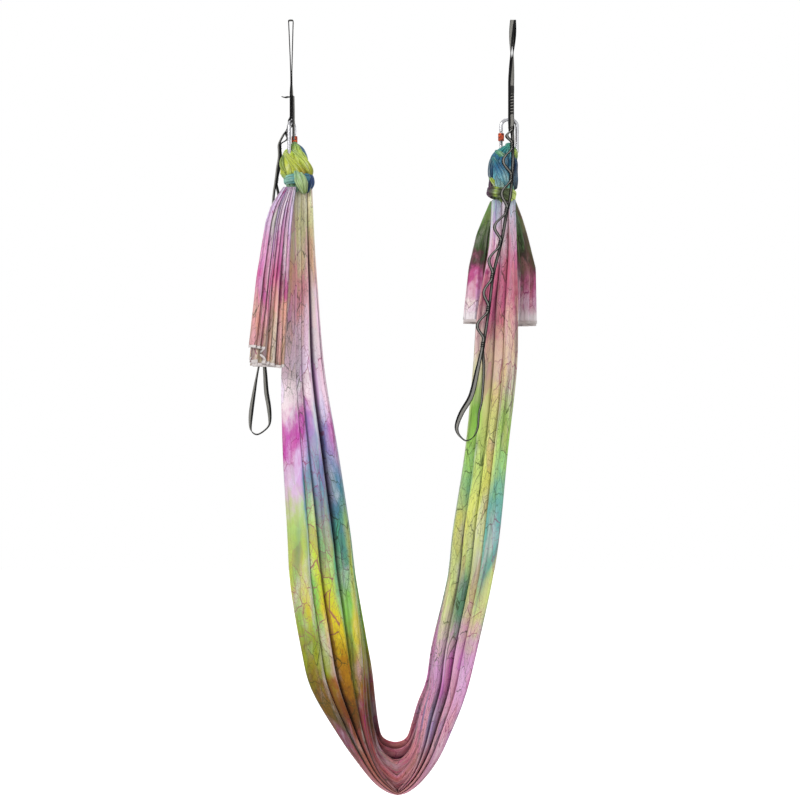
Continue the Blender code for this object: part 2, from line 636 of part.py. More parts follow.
def add_plies(side, strap, material, parts):
    """The two plies round the carabiner's bar, and the two plies of the loose chain."""
    top = strap.bar.z + SEWN_TO_BAR
    end = -TAIL_HINGE_DROP + FIT_GAP
    tack_top = strap.tack_z(0) + TACK_LENGTH / 2
    upper = [top] + heights(top - WEB_THICK, strap.eye_top(), BAR_ZONE_STEP)
    for high, low in ((strap.eye_top(), strap.eye_end()), (strap.eye_end(), tack_top), (tack_top, end)):
        upper += heights(high, low, PLY_STEP)[1:]
    lower_top = -TAIL_HINGE_DROP
    main = heights(lower_top, strap.join.z, CHAIN_STEP)
    pocket = [lower_top]
    for number in range(POCKET_COUNT):
        start = strap.tack_z(number) - TACK_LENGTH / 2
        stop = strap.tack_z(number + 1) + TACK_LENGTH / 2
        if number:
            pocket.append(start)
        pocket += [lerp(start, stop, share) for share in POCKET_RING_SHARES]
    pocket += [strap.join.z]
    plies = {
        "carrying_band": (upper, strap.main_ply),
        "carrying_pocket": (upper, strap.pocket_ply),
        "strap_band": (main, strap.main_ply),
        "pocket_band": (pocket, strap.pocket_ply),
    }
    for name, (zs, ply) in plies.items():
        band(f"{side}_{name}", [ply(z) for z in zs], [strap.across(z) for z in zs], material, parts)


def add_end_loop(side, strap, material, parts):
    s = strap.side
    top = strap.join.z - FIT_GAP
    turn = s["tail_turn"]
    rows = [(strap.main_ply(strap.join.z), turn)]
    for across, down, degrees in s["loop_shares"]:
        rows.append((Vector((strap.join.x + across * s["loop_width"], strap.join.y, top - down * s["loop_drop"])),
                     math.radians(degrees)))
    rows.append((strap.pocket_ply(strap.join.z), turn))
    rows[0][0].z = rows[-1][0].z = top
    points = smooth_route([point for point, _ in rows], LOOP_ROUTE_STEPS)
    turns = [v.x for v in smooth_route([Vector((angle, 0, 0)) for _, angle in rows], LOOP_ROUTE_STEPS)]
    acrosses = [Vector((math.cos(t), -math.sin(t), 0)) for t in turns]
    band(f"{side}_end_loop", points, acrosses, material, parts)


def add_strap(side, materials, parts):
    strap = Strap(side)
    sewn_face = WEB_THICK + PLY_GAP / 2 + FIT_GAP * 1.5
    ply_face = WEB_THICK / 2 + FIT_GAP * 2
    add_anchor_loop(side, strap, materials["webbing"], parts)
    add_sewn_section(side, strap, materials["webbing"], parts)
    add_end_tab(side, strap, materials["webbing"], parts)
    if "loose_end_drop" in SIDES[side]:
        add_loose_end(side, strap, materials["webbing"], parts)
    add_plies(side, strap, materials["webbing"], parts)
    add_end_loop(side, strap, materials["webbing"], parts)
    sewn_end = strap.bar.z + SEWN_TO_BAR
    middle = sewn_end + SEWN_BAR_COUNT * SEWN_BAR_STEP / 2 + SEWN_BAR_STEP / 2
    add_bars(f"{side}_sewn_bars", strap, lambda z: at_height(strap.route, z), middle, sewn_face, SEWN_BAR_COUNT,
             materials["thread"], parts, SEWN_BAR_STEP)
    add_bars(f"{side}_eye_bartack", strap, strap.pocket_ply, (strap.eye_top() + strap.eye_end()) / 2, ply_face,
             EYE_BAR_COUNT, materials["thread"], parts)
    for number in range(POCKET_COUNT + 1):
        z = strap.tack_z(number)
        if number == POCKET_COUNT:
            z += (TACK_LENGTH - JOIN_LENGTH) / 2
        add_bars(f"{side}_bartack_{number + 1}", strap, strap.pocket_ply, z, ply_face, TACK_BAR_COUNT,
                 materials["thread"], parts)
    return strap


def corner_points(x, z, start, steps=5):
    """Points of a quarter turn of the carabiner's rod about (x, z), from the start angle."""
    return [Vector((x + CORNER_RADIUS * math.cos(start + math.pi / 2 * i / steps), 0,
                    z + CORNER_RADIUS * math.sin(start + math.pi / 2 * i / steps))) for i in range(steps + 1)]


def frame_line():
    """Middle line of the rod, from the gate hinge round by the spine to the nose."""
    x, z = HALF_REACH - CORNER_RADIUS, HALF_LENGTH - CORNER_RADIUS
    points = [Vector((-HALF_REACH, 0, -PIVOT_BELOW - HINGE_ROOM))]
    points += corner_points(-x, -z, math.pi) + corner_points(x, -z, -math.pi / 2)
    points += corner_points(x, z, 0.0) + corner_points(-x, z, math.pi / 2)
    points.append(Vector((-HALF_REACH, 0, NOSE_ABOVE)))
    if (points[0] - points[1]).length < FIT_GAP:
        points.pop(0)
    return points


def add_carabiner(side, strap, materials, parts, cutters):
    s = strap.side
    bar_middle = Vector((strap.bar.x, 0, -s["carabiner_drop"]))
    matrix = (Matrix.Translation(bar_middle) @ Matrix.Rotation(s["carabiner_turn"], 4, "Z")
              @ Matrix.Translation(Vector((s["carabiner_shift"], 0, 0))))
    steel = materials["steel"]
    pivot = Vector((-HALF_REACH, 0, -PIVOT_BELOW))
    y_axis, z_axis = (0, 1, 0), (0, 0, 1)

    frame = tube(f"{side}_carabiner_frame", frame_line(), ROD_RADIUS, steel, parts)
    tongue = box(f"{side}_tongue", pivot + Vector((-TONGUE_RADIUS, -TONGUE_THICK / 2, -HINGE_ROOM - OVERRUN)),
                 pivot + Vector((TONGUE_RADIUS, TONGUE_THICK / 2, 0)), None, parts)
    knuckle = cylinder(f"{side}_knuckle", TONGUE_RADIUS, TONGUE_THICK, pivot, y_axis, None, parts, 16)
    shape_with(frame, tongue, "UNION", cutters)
    shape_with(frame, knuckle, "UNION", cutters)
    hole = cylinder(f"{side}_pin_hole", PIN_RADIUS + FIT_GAP, TONGUE_THICK + 2 * OVERRUN, pivot, y_axis, None,
                    parts, 12)
    shape_with(frame, hole, "DIFFERENCE", cutters)
    bake(frame)

    gate_top = NOSE_ABOVE - NOSE_GAP
    gate_low = -PIVOT_BELOW - TONGUE_RADIUS - FIT_GAP
    gate = cylinder(f"{side}_gate", GATE_RADIUS, gate_top - gate_low,
                    (-HALF_REACH, 0, (gate_top + gate_low) / 2), z_axis, steel, parts, 16)
    slot_half = TONGUE_THICK / 2 + FIT_GAP
    slot_top = TONGUE_RADIUS + FIT_GAP
    slot = box(f"{side}_gate_slot", pivot + Vector((-GATE_RADIUS - OVERRUN, -slot_half, -HINGE_ROOM - OVERRUN)),
               pivot + Vector((GATE_RADIUS + OVERRUN, slot_half, slot_top)), None, parts)
    bore_length = SPRING_LENGTH + PLUNGER_LENGTH + FIT_GAP * 3
    bore = cylinder(f"{side}_gate_bore", GATE_BORE, bore_length + OVERRUN,
                    pivot + Vector((0, 0, slot_top + (bore_length - OVERRUN) / 2)), z_axis, None, parts, 12)
    gate_hole = cylinder(f"{side}_gate_pin_hole", PIN_RADIUS + FIT_GAP, 2 * GATE_RADIUS + 2 * OVERRUN, pivot,
                         y_axis, None, parts, 12)
    for cutter in (slot, bore, gate_hole):
        shape_with(gate, cutter, "DIFFERENCE", cutters)
    bake(gate)

    pin = cylinder(f"{side}_gate_pin", PIN_RADIUS, 2 * GATE_RADIUS, pivot, y_axis, steel, parts, 12)
    plunger = cylinder(f"{side}_gate_plunger", GATE_BORE - FIT_GAP, PLUNGER_LENGTH,
                       pivot + Vector((0, 0, slot_top + PLUNGER_LENGTH / 2)), z_axis, steel, parts, 12)
    spring = cylinder(f"{side}_gate_spring", GATE_BORE - FIT_GAP, SPRING_LENGTH,
                      pivot + Vector((0, 0, slot_top + PLUNGER_LENGTH + FIT_GAP + SPRING_LENGTH / 2)), z_axis,
                      steel, parts, 12)
    sleeve_middle = (-HALF_REACH, 0, SLEEVE_ABOVE)
    sleeve = cylinder(f"{side}_screw_sleeve", SLEEVE_RADIUS, SLEEVE_LENGTH, sleeve_middle, z_axis,
                      materials["sleeve"], parts, 20, SLEEVE_CHAMFER)
    sleeve_bore = cylinder(f"{side}_sleeve_bore", ROD_RADIUS + FIT_GAP, SLEEVE_LENGTH + 2 * OVERRUN, sleeve_middle,
                           z_axis, None, parts, 16)
    shape_with(sleeve, sleeve_bore, "DIFFERENCE", cutters)
    bake(sleeve)

    room = tube(f"{side}_frame_room", frame_line(), ROD_RADIUS + FIT_GAP * 1.5, None, parts)
    reach = GATE_RADIUS + PIVOT_BELOW * math.tan(GATE_OPENING)
    gate_room = box(f"{side}_gate_room",
                    pivot + Vector((-3 * ROD_RADIUS, -ROD_RADIUS - FIT_GAP * 2, -HINGE_ROOM - FIT_GAP)),
                    pivot + Vector((reach, ROD_RADIUS + FIT_GAP * 2, HALF_LENGTH)), None, parts)
    for cutter in (room, gate_room):
        hide_cutter(cutter, cutters)
    for piece in (frame, gate, pin, plunger, spring, sleeve, room, gate_room):
        piece.matrix_world = matrix
    gate_hinge = add_pivot(f"{side}_gate_hinge", matrix @ pivot, parts, s["carabiner_turn"])
    sleeve_slide = add_pivot(f"{side}_sleeve_slide", matrix @ Vector(sleeve_middle), parts, s["carabiner_turn"])
    hang_on(gate_hinge, (gate, plunger, spring, sleeve_slide))
    hang_on(sleeve_slide, (sleeve,))
    return room, gate_room


def fold_ring(centre, side, depth, half_side, half_depth, count, phase=0.0):
    """A ring of overlapping folds: four points to a fold, each fold falling off sharply."""
    ring = []
    for fold in range(count // len(FOLD_STEPS)):
        for step, size in FOLD_STEPS:
            angle = 2 * math.pi * (fold + step) * len(FOLD_STEPS) / count + phase
            ring.append(centre + side * (half_side * size * math.cos(angle))
                        + depth * (half_depth * size * math.sin(angle)))
    return ring


def add_sling(material, parts):
    """The gathered cloth from one knot down through the seat and up to the other."""
    half = ANCHOR_SPAN / 2
    outer = [Vector((o[0] * half, 0, -o[1] * HANG_DROP)) for o, _ in SLING_EDGE_SHARES]
    inner = [Vector((i[0] * half, 0, -i[1] * HANG_DROP)) for _, i in SLING_EDGE_SHARES]
    depths = [Vector((share, 0, 0)) for share in SLING_DEPTH_SHARES]
    outer, inner, depths = (smooth_route(line, SLING_FINE_STEPS) for line in (outer, inner, depths))
    last = len(outer) - 1
    rings = []
    for i in range(SLING_STEPS + 1):
        at = round(last * i / SLING_STEPS)
        half_side = (inner[at] - outer[at]) / 2
        rings.append(fold_ring((outer[at] + inner[at]) / 2, half_side.normalized(), Vector((0, 1, 0)),
                               half_side.length, depths[at].x * SLING_HALF_DEPTH, SLING_SIDES))
    rings[0] = [Vector((p.x, p.y, -SIDES["left"]["knot_bottom"] - FIT_GAP)) for p in rings[0]]
    rings[-1] = [Vector((p.x, p.y, -SIDES["right"]["knot_bottom"] - FIT_GAP)) for p in rings[-1]]
    loft("sling", rings, material, parts)


def add_tail(side, material, parts):
    s = SIDES[side]
    half = ANCHOR_SPAN / 2
    rings = []
    top, bottom = -s["knot_bottom"] - FIT_GAP, -s["tail_bottom"]
    for share in TAIL_RING_SHARES:
        _, low, high, middle, deep = table_at(TAIL_SHARES[side], share)
        centre = Vector(((low + high) / 2 * half, middle * TAIL_HALF_DEPTH, lerp(top, bottom, share)))
        rings.append(fold_ring(centre, Vector((1, 0, 0)), Vector((0, 1, 0)), (high - low) / 2 * half,
                               deep * TAIL_HALF_DEPTH, TAIL_SIDES))
    loft(f"{side}_cloth_tail", rings, material, parts)


def add_knot(side, strap, rooms, materials, parts, cutters):
    """The bight over the carabiner's lower bar, and the collar that the cloth makes round its neck."""
    s = strap.side
    middle = Vector((strap.bar.x + s["knot_side"], s["knot_depth"], 0))
    height = s["knot_bottom"] - s["knot_top"]
    rings = []
    for share, shift, wide, deep in KNOT_SHARES:
        centre = middle + Vector((s["sign"] * shift * KNOT_HALF_WIDTH, 0, -s["knot_top"] - share * height))
        rings.append(fold_ring(centre, Vector((1, 0, 0)), Vector((0, 1, 0)), wide * KNOT_HALF_WIDTH,
                               deep * KNOT_HALF_DEPTH, KNOT_SIDES, share * KNOT_TWIST * s["sign"]))
    bight = loft(f"{side}_knot_bight", rings, materials["knot_" + side], parts)
    collar_middle = middle + Vector((0, 0, -s["knot_bottom"] + COLLAR_THICK * COLLAR_ABOVE_END))
    turn = Matrix.Translation(collar_middle) @ Matrix.Rotation(COLLAR_TILT * s["sign"], 4, "Y")
    collars = []
    for name, thick, material in ((f"{side}_knot_collar", COLLAR_THICK, materials["collar_" + side]),
                                  (f"{side}_collar_room", COLLAR_THICK + FIT_GAP * 1.5, None)):
        bpy.ops.mesh.primitive_torus_add(major_segments=COLLAR_SIDES, minor_segments=8,
                                         major_radius=COLLAR_RADIUS, minor_radius=thick)
        ring = bpy.context.object
        ring.name = name
        ring.data.name = name
        for collection in list(ring.users_collection):
            collection.objects.unlink(ring)
        parts.objects.link(ring)
        ring.matrix_world = turn
        ring.data.shade_smooth()
        if material:
            ring.data.materials.append(material)
        collars.append(ring)
    for room in (*rooms, collars[1]):
        shape_with(bight, room, "DIFFERENCE", cutters)
        bake(bight)


def hang_pieces(parts):
    """Hang the loose chains on their hinges, and everything below the anchor loops on the swing's axis."""
    swing = add_pivot("hammock_swing_axis", (0, 0, -LOOP_DROP), parts)
    hinges = []
    for side in SIDES:
        strap = Strap(side)
        edge = WEB_WIDTH / 2 * abs(math.sin(strap.side["tail_turn"])) + 2 * WEB_THICK
        move = Vector((0, -edge, 0)) if strap.side["sign"] > 0 else Vector((-edge, 0, 0))
        hinge = add_pivot(f"{side}_strap_tail_hinge", strap.hinge + move, parts)
        names = ["strap_band", "pocket_band", "end_loop"]
        names += [f"bartack_{number}" for number in range(2, POCKET_COUNT + 2)]
        hang_on(hinge, [bpy.data.objects[f"{side}_{name}"] for name in names])
        hinges.append(hinge)
    rest = [obj for obj in parts.objects if obj.parent is None and obj != swing and "anchor_loop" not in obj.name]
    hang_on(swing, rest)


def main():
    clear_scene()
    parts = make_collection("aerial_hammock")
    cutters = make_collection("cutters")
    materials = {
        "webbing": make_material("two_tone_webbing", (0.10, 0.10, 0.10), 0.75),
        "thread": make_material("black_thread", (0.01, 0.01, 0.01), 0.6),
        "steel": make_material("bright_metal", (0.72, 0.72, 0.74), 0.28, 1.0),
        "sleeve": make_material("orange_anodised_metal", (0.80, 0.16, 0.04), 0.35, 0.6),
        "sling": make_material("printed_cloth", (0.80, 0.62, 0.70), 0.85),
        "tail": make_material("printed_cloth_tail", (0.82, 0.60, 0.76), 0.85),
        "knot_left": make_material("lime_cloth", (0.62, 0.74, 0.20), 0.85),
        "knot_right": make_material("teal_cloth", (0.16, 0.44, 0.52), 0.85),
        "collar_left": make_material("pale_green_cloth", (0.42, 0.68, 0.52), 0.85),
        "collar_right": make_material("yellow_green_cloth", (0.66, 0.72, 0.36), 0.85),
    }
    for side in SIDES:
        strap = add_strap(side, materials, parts)
        rooms = add_carabiner(side, strap, materials, parts, cutters)
        add_knot(side, strap, rooms, materials, parts, cutters)
        add_tail(side, materials["tail"], parts)
    add_sling(materials["sling"], parts)
    hang_pieces(parts)


main()
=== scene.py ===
import math

import bmesh
import bpy
from mathutils import Matrix, Vector, noise


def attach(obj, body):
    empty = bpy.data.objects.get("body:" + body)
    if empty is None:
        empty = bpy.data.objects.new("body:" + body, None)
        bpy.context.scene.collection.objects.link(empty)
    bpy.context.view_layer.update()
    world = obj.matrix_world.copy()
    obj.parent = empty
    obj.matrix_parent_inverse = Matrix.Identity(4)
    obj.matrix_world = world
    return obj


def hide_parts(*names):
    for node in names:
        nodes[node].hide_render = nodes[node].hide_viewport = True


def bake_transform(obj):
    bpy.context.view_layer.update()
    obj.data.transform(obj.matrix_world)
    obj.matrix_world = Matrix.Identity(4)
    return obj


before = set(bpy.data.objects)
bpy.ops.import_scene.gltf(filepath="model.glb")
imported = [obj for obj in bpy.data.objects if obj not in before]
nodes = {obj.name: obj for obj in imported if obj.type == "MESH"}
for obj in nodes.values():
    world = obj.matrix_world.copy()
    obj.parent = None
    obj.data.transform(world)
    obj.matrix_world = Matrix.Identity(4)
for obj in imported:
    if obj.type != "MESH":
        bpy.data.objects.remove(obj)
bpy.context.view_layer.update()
sides = ("left", "right")


def mix(a, b, t):
    return a + (b - a) * t


def clamp01(t):
    return min(max(t, 0.0), 1.0)


def soften(t):
    t = clamp01(t)
    return t * t * (3 - 2 * t)


def readRows(rows, t):  # straight reading of a table whose first column rises
    for low, high in zip(rows, rows[1:]):
        if t <= high[0]:
            share = clamp01((t - low[0]) / (high[0] - low[0]))
            return [mix(a, b, share) for a, b in zip(low, high)]
    return list(rows[-1])


def smoothLine(points, steps):  # smooth curve through points, steps in each span
    line = []
    padded = [2 * points[0] - points[1], *points, 2 * points[-1] - points[-2]]
    for i in range(1, len(padded) - 2):
        p0, p1, p2, p3 = padded[i - 1:i + 3]
        for j in range(steps):
            t = j / steps
            line.append(0.5 * (2 * p1 + (p2 - p0) * t + (2 * p0 - 5 * p1 + 4 * p2 - p3) * t ** 2
                               + (3 * p1 - p0 - 3 * p2 + p3) * t ** 3))
    line.append(points[-1])
    return line


def spread(top, bottom, step):
    count = max(2, round(abs(top - bottom) / step))
    return [mix(top, bottom, i / count) for i in range(count + 1)]


def headingAt(points, i):
    return (points[min(i + 1, len(points) - 1)] - points[max(i - 1, 0)]).normalized()


def ripple(a, b, c=0.0):
    return noise.noise(Vector((a, b, c)))


def linear(r, g, b):  # colours are picked as they look on a screen
    return tuple((c / 12.92 if c < 0.04045 else ((c + 0.055) / 1.055) ** 2.4) for c in (r, g, b))


def dyeRows(rows):  # from whole numbers: a place in thousandths, then red, green and blue in hundredths
    return [(row[0] / 1000, *(c / 100 for c in row[1:])) for row in rows]


def showObject(name, data):
    piece = bpy.data.objects.new(name, data)
    bpy.context.scene.collection.objects.link(piece)
    return piece


def ringFaces(rings, count, base=0, closed=False):  # skin over rings of count points, capped if not closed
    faces = []
    for i in range(rings if closed else rings - 1):
        low, high = base + i * count, base + (i + 1) % rings * count
        for j in range(count):
            k = (j + 1) % count
            faces.append((low + j, low + k, high + k, high + j))
    if not closed:
        faces.append(tuple(range(base, base + count))[::-1])
        faces.append(tuple(range(base + (rings - 1) * count, base + rings * count)))
    return faces


def addPiece(name, verts, faces, material, uvs=None, smooth=True, folds=None, dyes=None):
    mesh = bpy.data.meshes.new(name)
    mesh.from_pydata([tuple(v) for v in verts], [], faces)
    # the fold map, when given, carries how deep in a fold each point lies, for the painted shade
    for label, places in (("cut", uvs), ("fold", folds)):
        if places:
            layer = mesh.uv_layers.new(name=label)
            layer.data.foreach_set("uv", [c for loop in mesh.loops for c in places[loop.vertex_index]])
    if dyes:
        layer = mesh.color_attributes.new(name="dye", type="FLOAT_COLOR", domain="POINT")
        layer.data.foreach_set("color", [c for dye in dyes for c in (*dye, 1.0)])
    mesh.materials.append(material)
    piece = showObject(name, mesh)
    if smooth:
        mesh.shade_smooth()
    return piece


def facesOut(piece, sharpFrom=None):
    bm = bmesh.new()
    bm.from_mesh(piece.data)
    bmesh.ops.recalc_face_normals(bm, faces=bm.faces)
    if bm.calc_volume(signed=True) < 0:
        bmesh.ops.reverse_faces(bm, faces=bm.faces)
    bm.to_mesh(piece.data)
    bm.free()
    if sharpFrom:
        piece.data.set_sharp_from_angle(angle=math.radians(sharpFrom))


def startMaterial(name, roughness, metallic=0.0):
    material = bpy.data.materials.new(name)
    material.use_nodes = True
    tree = material.node_tree
    shader = tree.nodes["Principled BSDF"]
    shader.inputs["Roughness"].default_value = roughness
    shader.inputs["Metallic"].default_value = metallic
    if not metallic:
        shader.inputs["Specular IOR Level"].default_value = 0.18
    return material, tree, shader


def addNode(tree, kind, inputs=None, **settings):
    node = tree.nodes.new(kind)
    for key, value in settings.items():
        setattr(node, key, value)
    for key, value in (inputs or {}).items():
        if isinstance(value, bpy.types.NodeSocket):
            tree.links.new(value, node.inputs[key])
        else:
            node.inputs[key].default_value = value
    return node


def calc(tree, operation, a, b=0.0, c=0.0):
    return addNode(tree, "ShaderNodeMath", {0: a, 1: b, 2: c}, operation=operation).outputs[0]


def vectorCalc(tree, operation, a, b):
    return addNode(tree, "ShaderNodeVectorMath", {0: a, 1: b}, operation=operation).outputs[0]


def axisOf(tree, vector, axis):
    return addNode(tree, "ShaderNodeSeparateXYZ", {"Vector": vector}).outputs[axis]


def uvOf(tree, label="cut"):
    return addNode(tree, "ShaderNodeUVMap", uv_map=label).outputs["UV"]


def objectPlace(tree):
    return addNode(tree, "ShaderNodeTexCoord").outputs["Object"]


def blendColour(tree, factor, a, b, blend="MIX"):
    colours = {6: a, 7: b}
    for key, value in colours.items():
        if not isinstance(value, bpy.types.NodeSocket):
            colours[key] = (*value, 1.0)
    node = addNode(tree, "ShaderNodeMix", {"Factor": factor, **colours}, data_type="RGBA", blend_type=blend)
    return node.outputs[2]


def rampOf(tree, factor, rows, interpolation="EASE"):
    node = addNode(tree, "ShaderNodeValToRGB", {"Fac": factor})
    node.color_ramp.interpolation = interpolation
    elements = node.color_ramp.elements
    while len(elements) < len(rows):
        elements.new(0.5)
    for element, (place, *colour) in zip(elements, dyeRows(rows)):
        element.position = place
        element.color = (*linear(*colour), 1.0)
    return node.outputs["Color"]


def noiseOf(tree, vector, scale, detail=2.0, roughness=0.5, output="Fac"):
    return addNode(tree, "ShaderNodeTexNoise", {"Vector": vector, "Scale": scale, "Detail": detail,
                                                "Roughness": roughness}).outputs[output]


def moveOf(tree, vector, **how):
    return addNode(tree, "ShaderNodeMapping", {"Vector": vector, **how}).outputs["Vector"]


def stretched(tree, vector, across, along):
    return moveOf(tree, vector, Scale=(across, along, 1.0))


def rangeOf(tree, value, low, high, top=1.0):
    inputs = {"Value": value, "From Min": low, "From Max": high, "To Max": top}
    return addNode(tree, "ShaderNodeMapRange", inputs, interpolation_type="SMOOTHSTEP").outputs["Result"]


def bumpOf(tree, height, strength, distance, normal=None):
    inputs = {"Height": height, "Strength": strength, "Distance": distance}
    if normal is not None:
        inputs["Normal"] = normal
    return addNode(tree, "ShaderNodeBump", inputs).outputs["Normal"]


def twoTone(tree, shader, look, share, height):
    first, second = (linear(*tone) for tone in look["tones"])
    tree.links.new(blendColour(tree, share, first, second), shader.inputs["Base Color"])
    tree.links.new(bumpOf(tree, height, *look["bump"]), shader.inputs["Normal"])


clothNoises = {  # waves across and along in each metre of cloth, detail and roughness
    "sway": (4.0, 1.7, 6.0, 0.62), "grain": (48.0, 30.0, 3.0, 0.6), "patch": (5.5, 1.1, 2.0, 0.5),
    "cloud": (15.0, 5.0, 5.0, 0.6), "dark": (11.0, 3.4, 4.0, 0.6), "lineTone": (2.6, 1.6, 1.0, 0.5),
    "lines": (7.0, 4.0, 2.0, 0.5), "mesh": (5.0, 3.0, 2.0, 0.5), "streak": (46.0, 1.5, 3.0, 0.55),
    "crease": (42.0, 3.4, 5.0, 0.6), "knotPale": (40.0, 22.0, 4.0, 0.6), "knotDark": (95.0, 20.0, 4.0, 0.6),
}
clothMasks = {  # where a noise starts to show, where it shows in full, and how much
    "patch": (0.46, 0.54, 1.0), "cloud": (0.46, 0.76, 0.60), "dark": (0.54, 0.74, 0.45),
    "lines": (0.36, 0.48, 1.0), "mesh": (0.42, 0.62, 0.30), "knotPale": (0.48, 0.76, 0.55),
    # the last two masks read the fold map, not a noise, and set where painted shade darkens the folds
    "knotDark": (0.46, 0.70, 0.9), "valley": (0.42, 0.94, 1.0), "knotPaintedShade": (0.26, 1.05, 1.0),
}
clothLook = {
    "roughness": 0.88, "sheen": 0.15, "sheenRoughness": 0.5, "knit": 190.0, "knitWander": 1.5,
    "knitBump": (0.12, 0.0004), "creaseBump": (0.8, 0.006), "bendAcross": 0.10, "bendAlong": 0.34,
    # valley is the tone of the painted shade, multiplied into the cloth down in its folds
    "grain": 0.16, "pale": (0.93, 0.90, 0.93), "valley": (0.38, 0.31, 0.39), "streak": (0.50, 0.44, 0.52),
    "streakStrength": 0.75, "streakWidth": 0.17, "edge": (0.96, 0.94, 0.95), "edgeLength": 0.045,
    "edgeStrength": 0.82, "lineWidth": 0.0026, "mainWidth": 2.0, "meshWidth": 0.8, "twigs": (3.1, 4.3),
    "knotPale": (0.88, 0.92, 0.86), "knotPace": (4.5, 6.0), "lineStrength": 0.74, "twigStrength": 0.66,
    "mesh": (130.0, 90.0), "panels": (7.0, 2.4), "panelStrength": 0.50, "panelBend": 0.60,
    "lineTones": ((0, 62, 6, 40), (440, 58, 8, 38), (500, 16, 25, 12), (600, 20, 22, 10),
        (680, 42, 12, 26)),
    "panelTones": ((0, 100, 100, 100), (380, 100, 100, 100), (400, 96, 72, 93), (520, 97, 80, 95),
        (540, 100, 100, 90), (720, 100, 100, 88), (740, 90, 98, 86), (840, 92, 100, 90), (860, 100, 93, 88),
        (1000, 100, 96, 94)),
}
slingDye = {
    "shift": (0.3, 0.0, 0.0), "start": 0.0, "length": 3.55, "streakFrom": 0.56,
    "first": ((0, 100, 99, 86), (25, 100, 100, 76), (50, 100, 93, 80), (75, 100, 72, 77),
        (110, 100, 87, 95), (150, 98, 89, 98), (180, 80, 36, 72), (212, 88, 78, 92), (250, 72, 84, 50),
        (295, 78, 88, 30), (335, 86, 80, 18), (370, 66, 46, 8), (410, 48, 27, 10), (460, 78, 44, 40),
        (500, 93, 62, 66), (550, 93, 68, 78), (610, 94, 70, 90), (665, 86, 90, 60), (750, 92, 95, 48),
        (810, 96, 95, 62), (850, 95, 82, 72), (885, 86, 48, 60), (915, 90, 46, 60), (940, 97, 84, 90),
        (968, 93, 90, 96), (1000, 72, 80, 82)),
    "second": ((0, 100, 97, 88), (30, 100, 99, 80), (65, 100, 82, 70), (100, 100, 93, 98),
        (150, 92, 86, 95), (190, 54, 60, 80), (225, 32, 56, 66), (280, 36, 70, 54), (325, 56, 80, 36),
        (365, 62, 64, 16), (400, 52, 36, 12), (435, 36, 26, 16), (470, 62, 36, 36), (505, 82, 54, 60),
        (550, 70, 64, 78), (610, 80, 44, 72), (660, 44, 66, 52), (720, 44, 72, 70), (790, 72, 90, 44),
        (845, 94, 88, 80), (890, 76, 36, 48), (925, 94, 76, 86), (960, 74, 82, 90), (1000, 42, 58, 58)),
}
tailDyes = {
    "left": {
        "shift": (5.1, 0.0, 0.0), "start": 0.455, "length": 0.50, "streakFrom": 0.47,
        "first": ((0, 84, 78, 90), (160, 84, 74, 88), (340, 88, 62, 80), (500, 84, 44, 66),
            (660, 90, 66, 68), (800, 80, 68, 60), (930, 66, 58, 46), (1000, 86, 80, 72)),
        "second": ((0, 66, 54, 70), (180, 88, 84, 80), (360, 94, 80, 90), (520, 76, 34, 56),
            (660, 94, 68, 62), (800, 92, 70, 70), (930, 88, 66, 60), (1000, 72, 66, 54)),
    },
    "right": {
        "shift": (2.2, 0.0, 0.0), "start": 0.486, "length": 0.34, "streakFrom": 0.52, "paleFrom": 0.762,
        "first": ((0, 56, 72, 50), (160, 44, 58, 38), (320, 36, 30, 28), (460, 70, 50, 50),
            (600, 84, 60, 64), (740, 90, 56, 70), (880, 97, 78, 88), (1000, 98, 93, 96)),
        "second": ((0, 42, 66, 40), (180, 50, 62, 34), (320, 34, 46, 26), (460, 24, 34, 18),
            (560, 40, 24, 30), (680, 78, 40, 58), (840, 90, 72, 84), (1000, 97, 92, 95)),
    },
}


def noiseAt(tree, vector, name, output="Fac"):
    across, along, detail, roughness = clothNoises[name]
    return noiseOf(tree, stretched(tree, vector, across, along), 1.0, detail, roughness, output)


def maskAt(tree, vector, name):
    return rangeOf(tree, noiseAt(tree, vector, name), *clothMasks[name])


def cellsOf(tree, vector, across, along, feature, output):
    inputs = {"Vector": stretched(tree, vector, across, along)}
    return addNode(tree, "ShaderNodeTexVoronoi", inputs, feature=feature).outputs[output]


def crackOf(tree, vector, across, along, wide):  # thin lines that branch, wide in metres of cloth
    cells = cellsOf(tree, vector, across, along, "DISTANCE_TO_EDGE", "Distance")
    reach = wide * math.sqrt(across * along)
    return calc(tree, "SUBTRACT", 1.0, rangeOf(tree, cells, reach * 0.35, reach))


def finishCloth(tree, shader, colour, place, valley):  # painted shade darkens the colour down in its folds, and the surface is knitted and creased
    look = clothLook
    # painted shade: the fold map's first value turns the colour toward the valley tone, where shadow falls in
    # the folds
    deep = rangeOf(tree, axisOf(tree, uvOf(tree, "fold"), "X"), *clothMasks[valley])
    colour = blendColour(tree, deep, colour, linear(*look["valley"]), "MULTIPLY")
    tree.links.new(colour, shader.inputs["Base Color"])
    shader.inputs["Sheen Weight"].default_value = look["sheen"]
    shader.inputs["Sheen Roughness"].default_value = look["sheenRoughness"]
    inputs = {"Vector": place, "Scale": look["knit"], "Distortion": look["knitWander"]}
    knit = addNode(tree, "ShaderNodeTexWave", inputs, bands_direction="X")
    soft = bumpOf(tree, noiseAt(tree, place, "crease"), *look["creaseBump"])
    tree.links.new(bumpOf(tree, knit.outputs["Fac"], *look["knitBump"], soft), shader.inputs["Normal"])


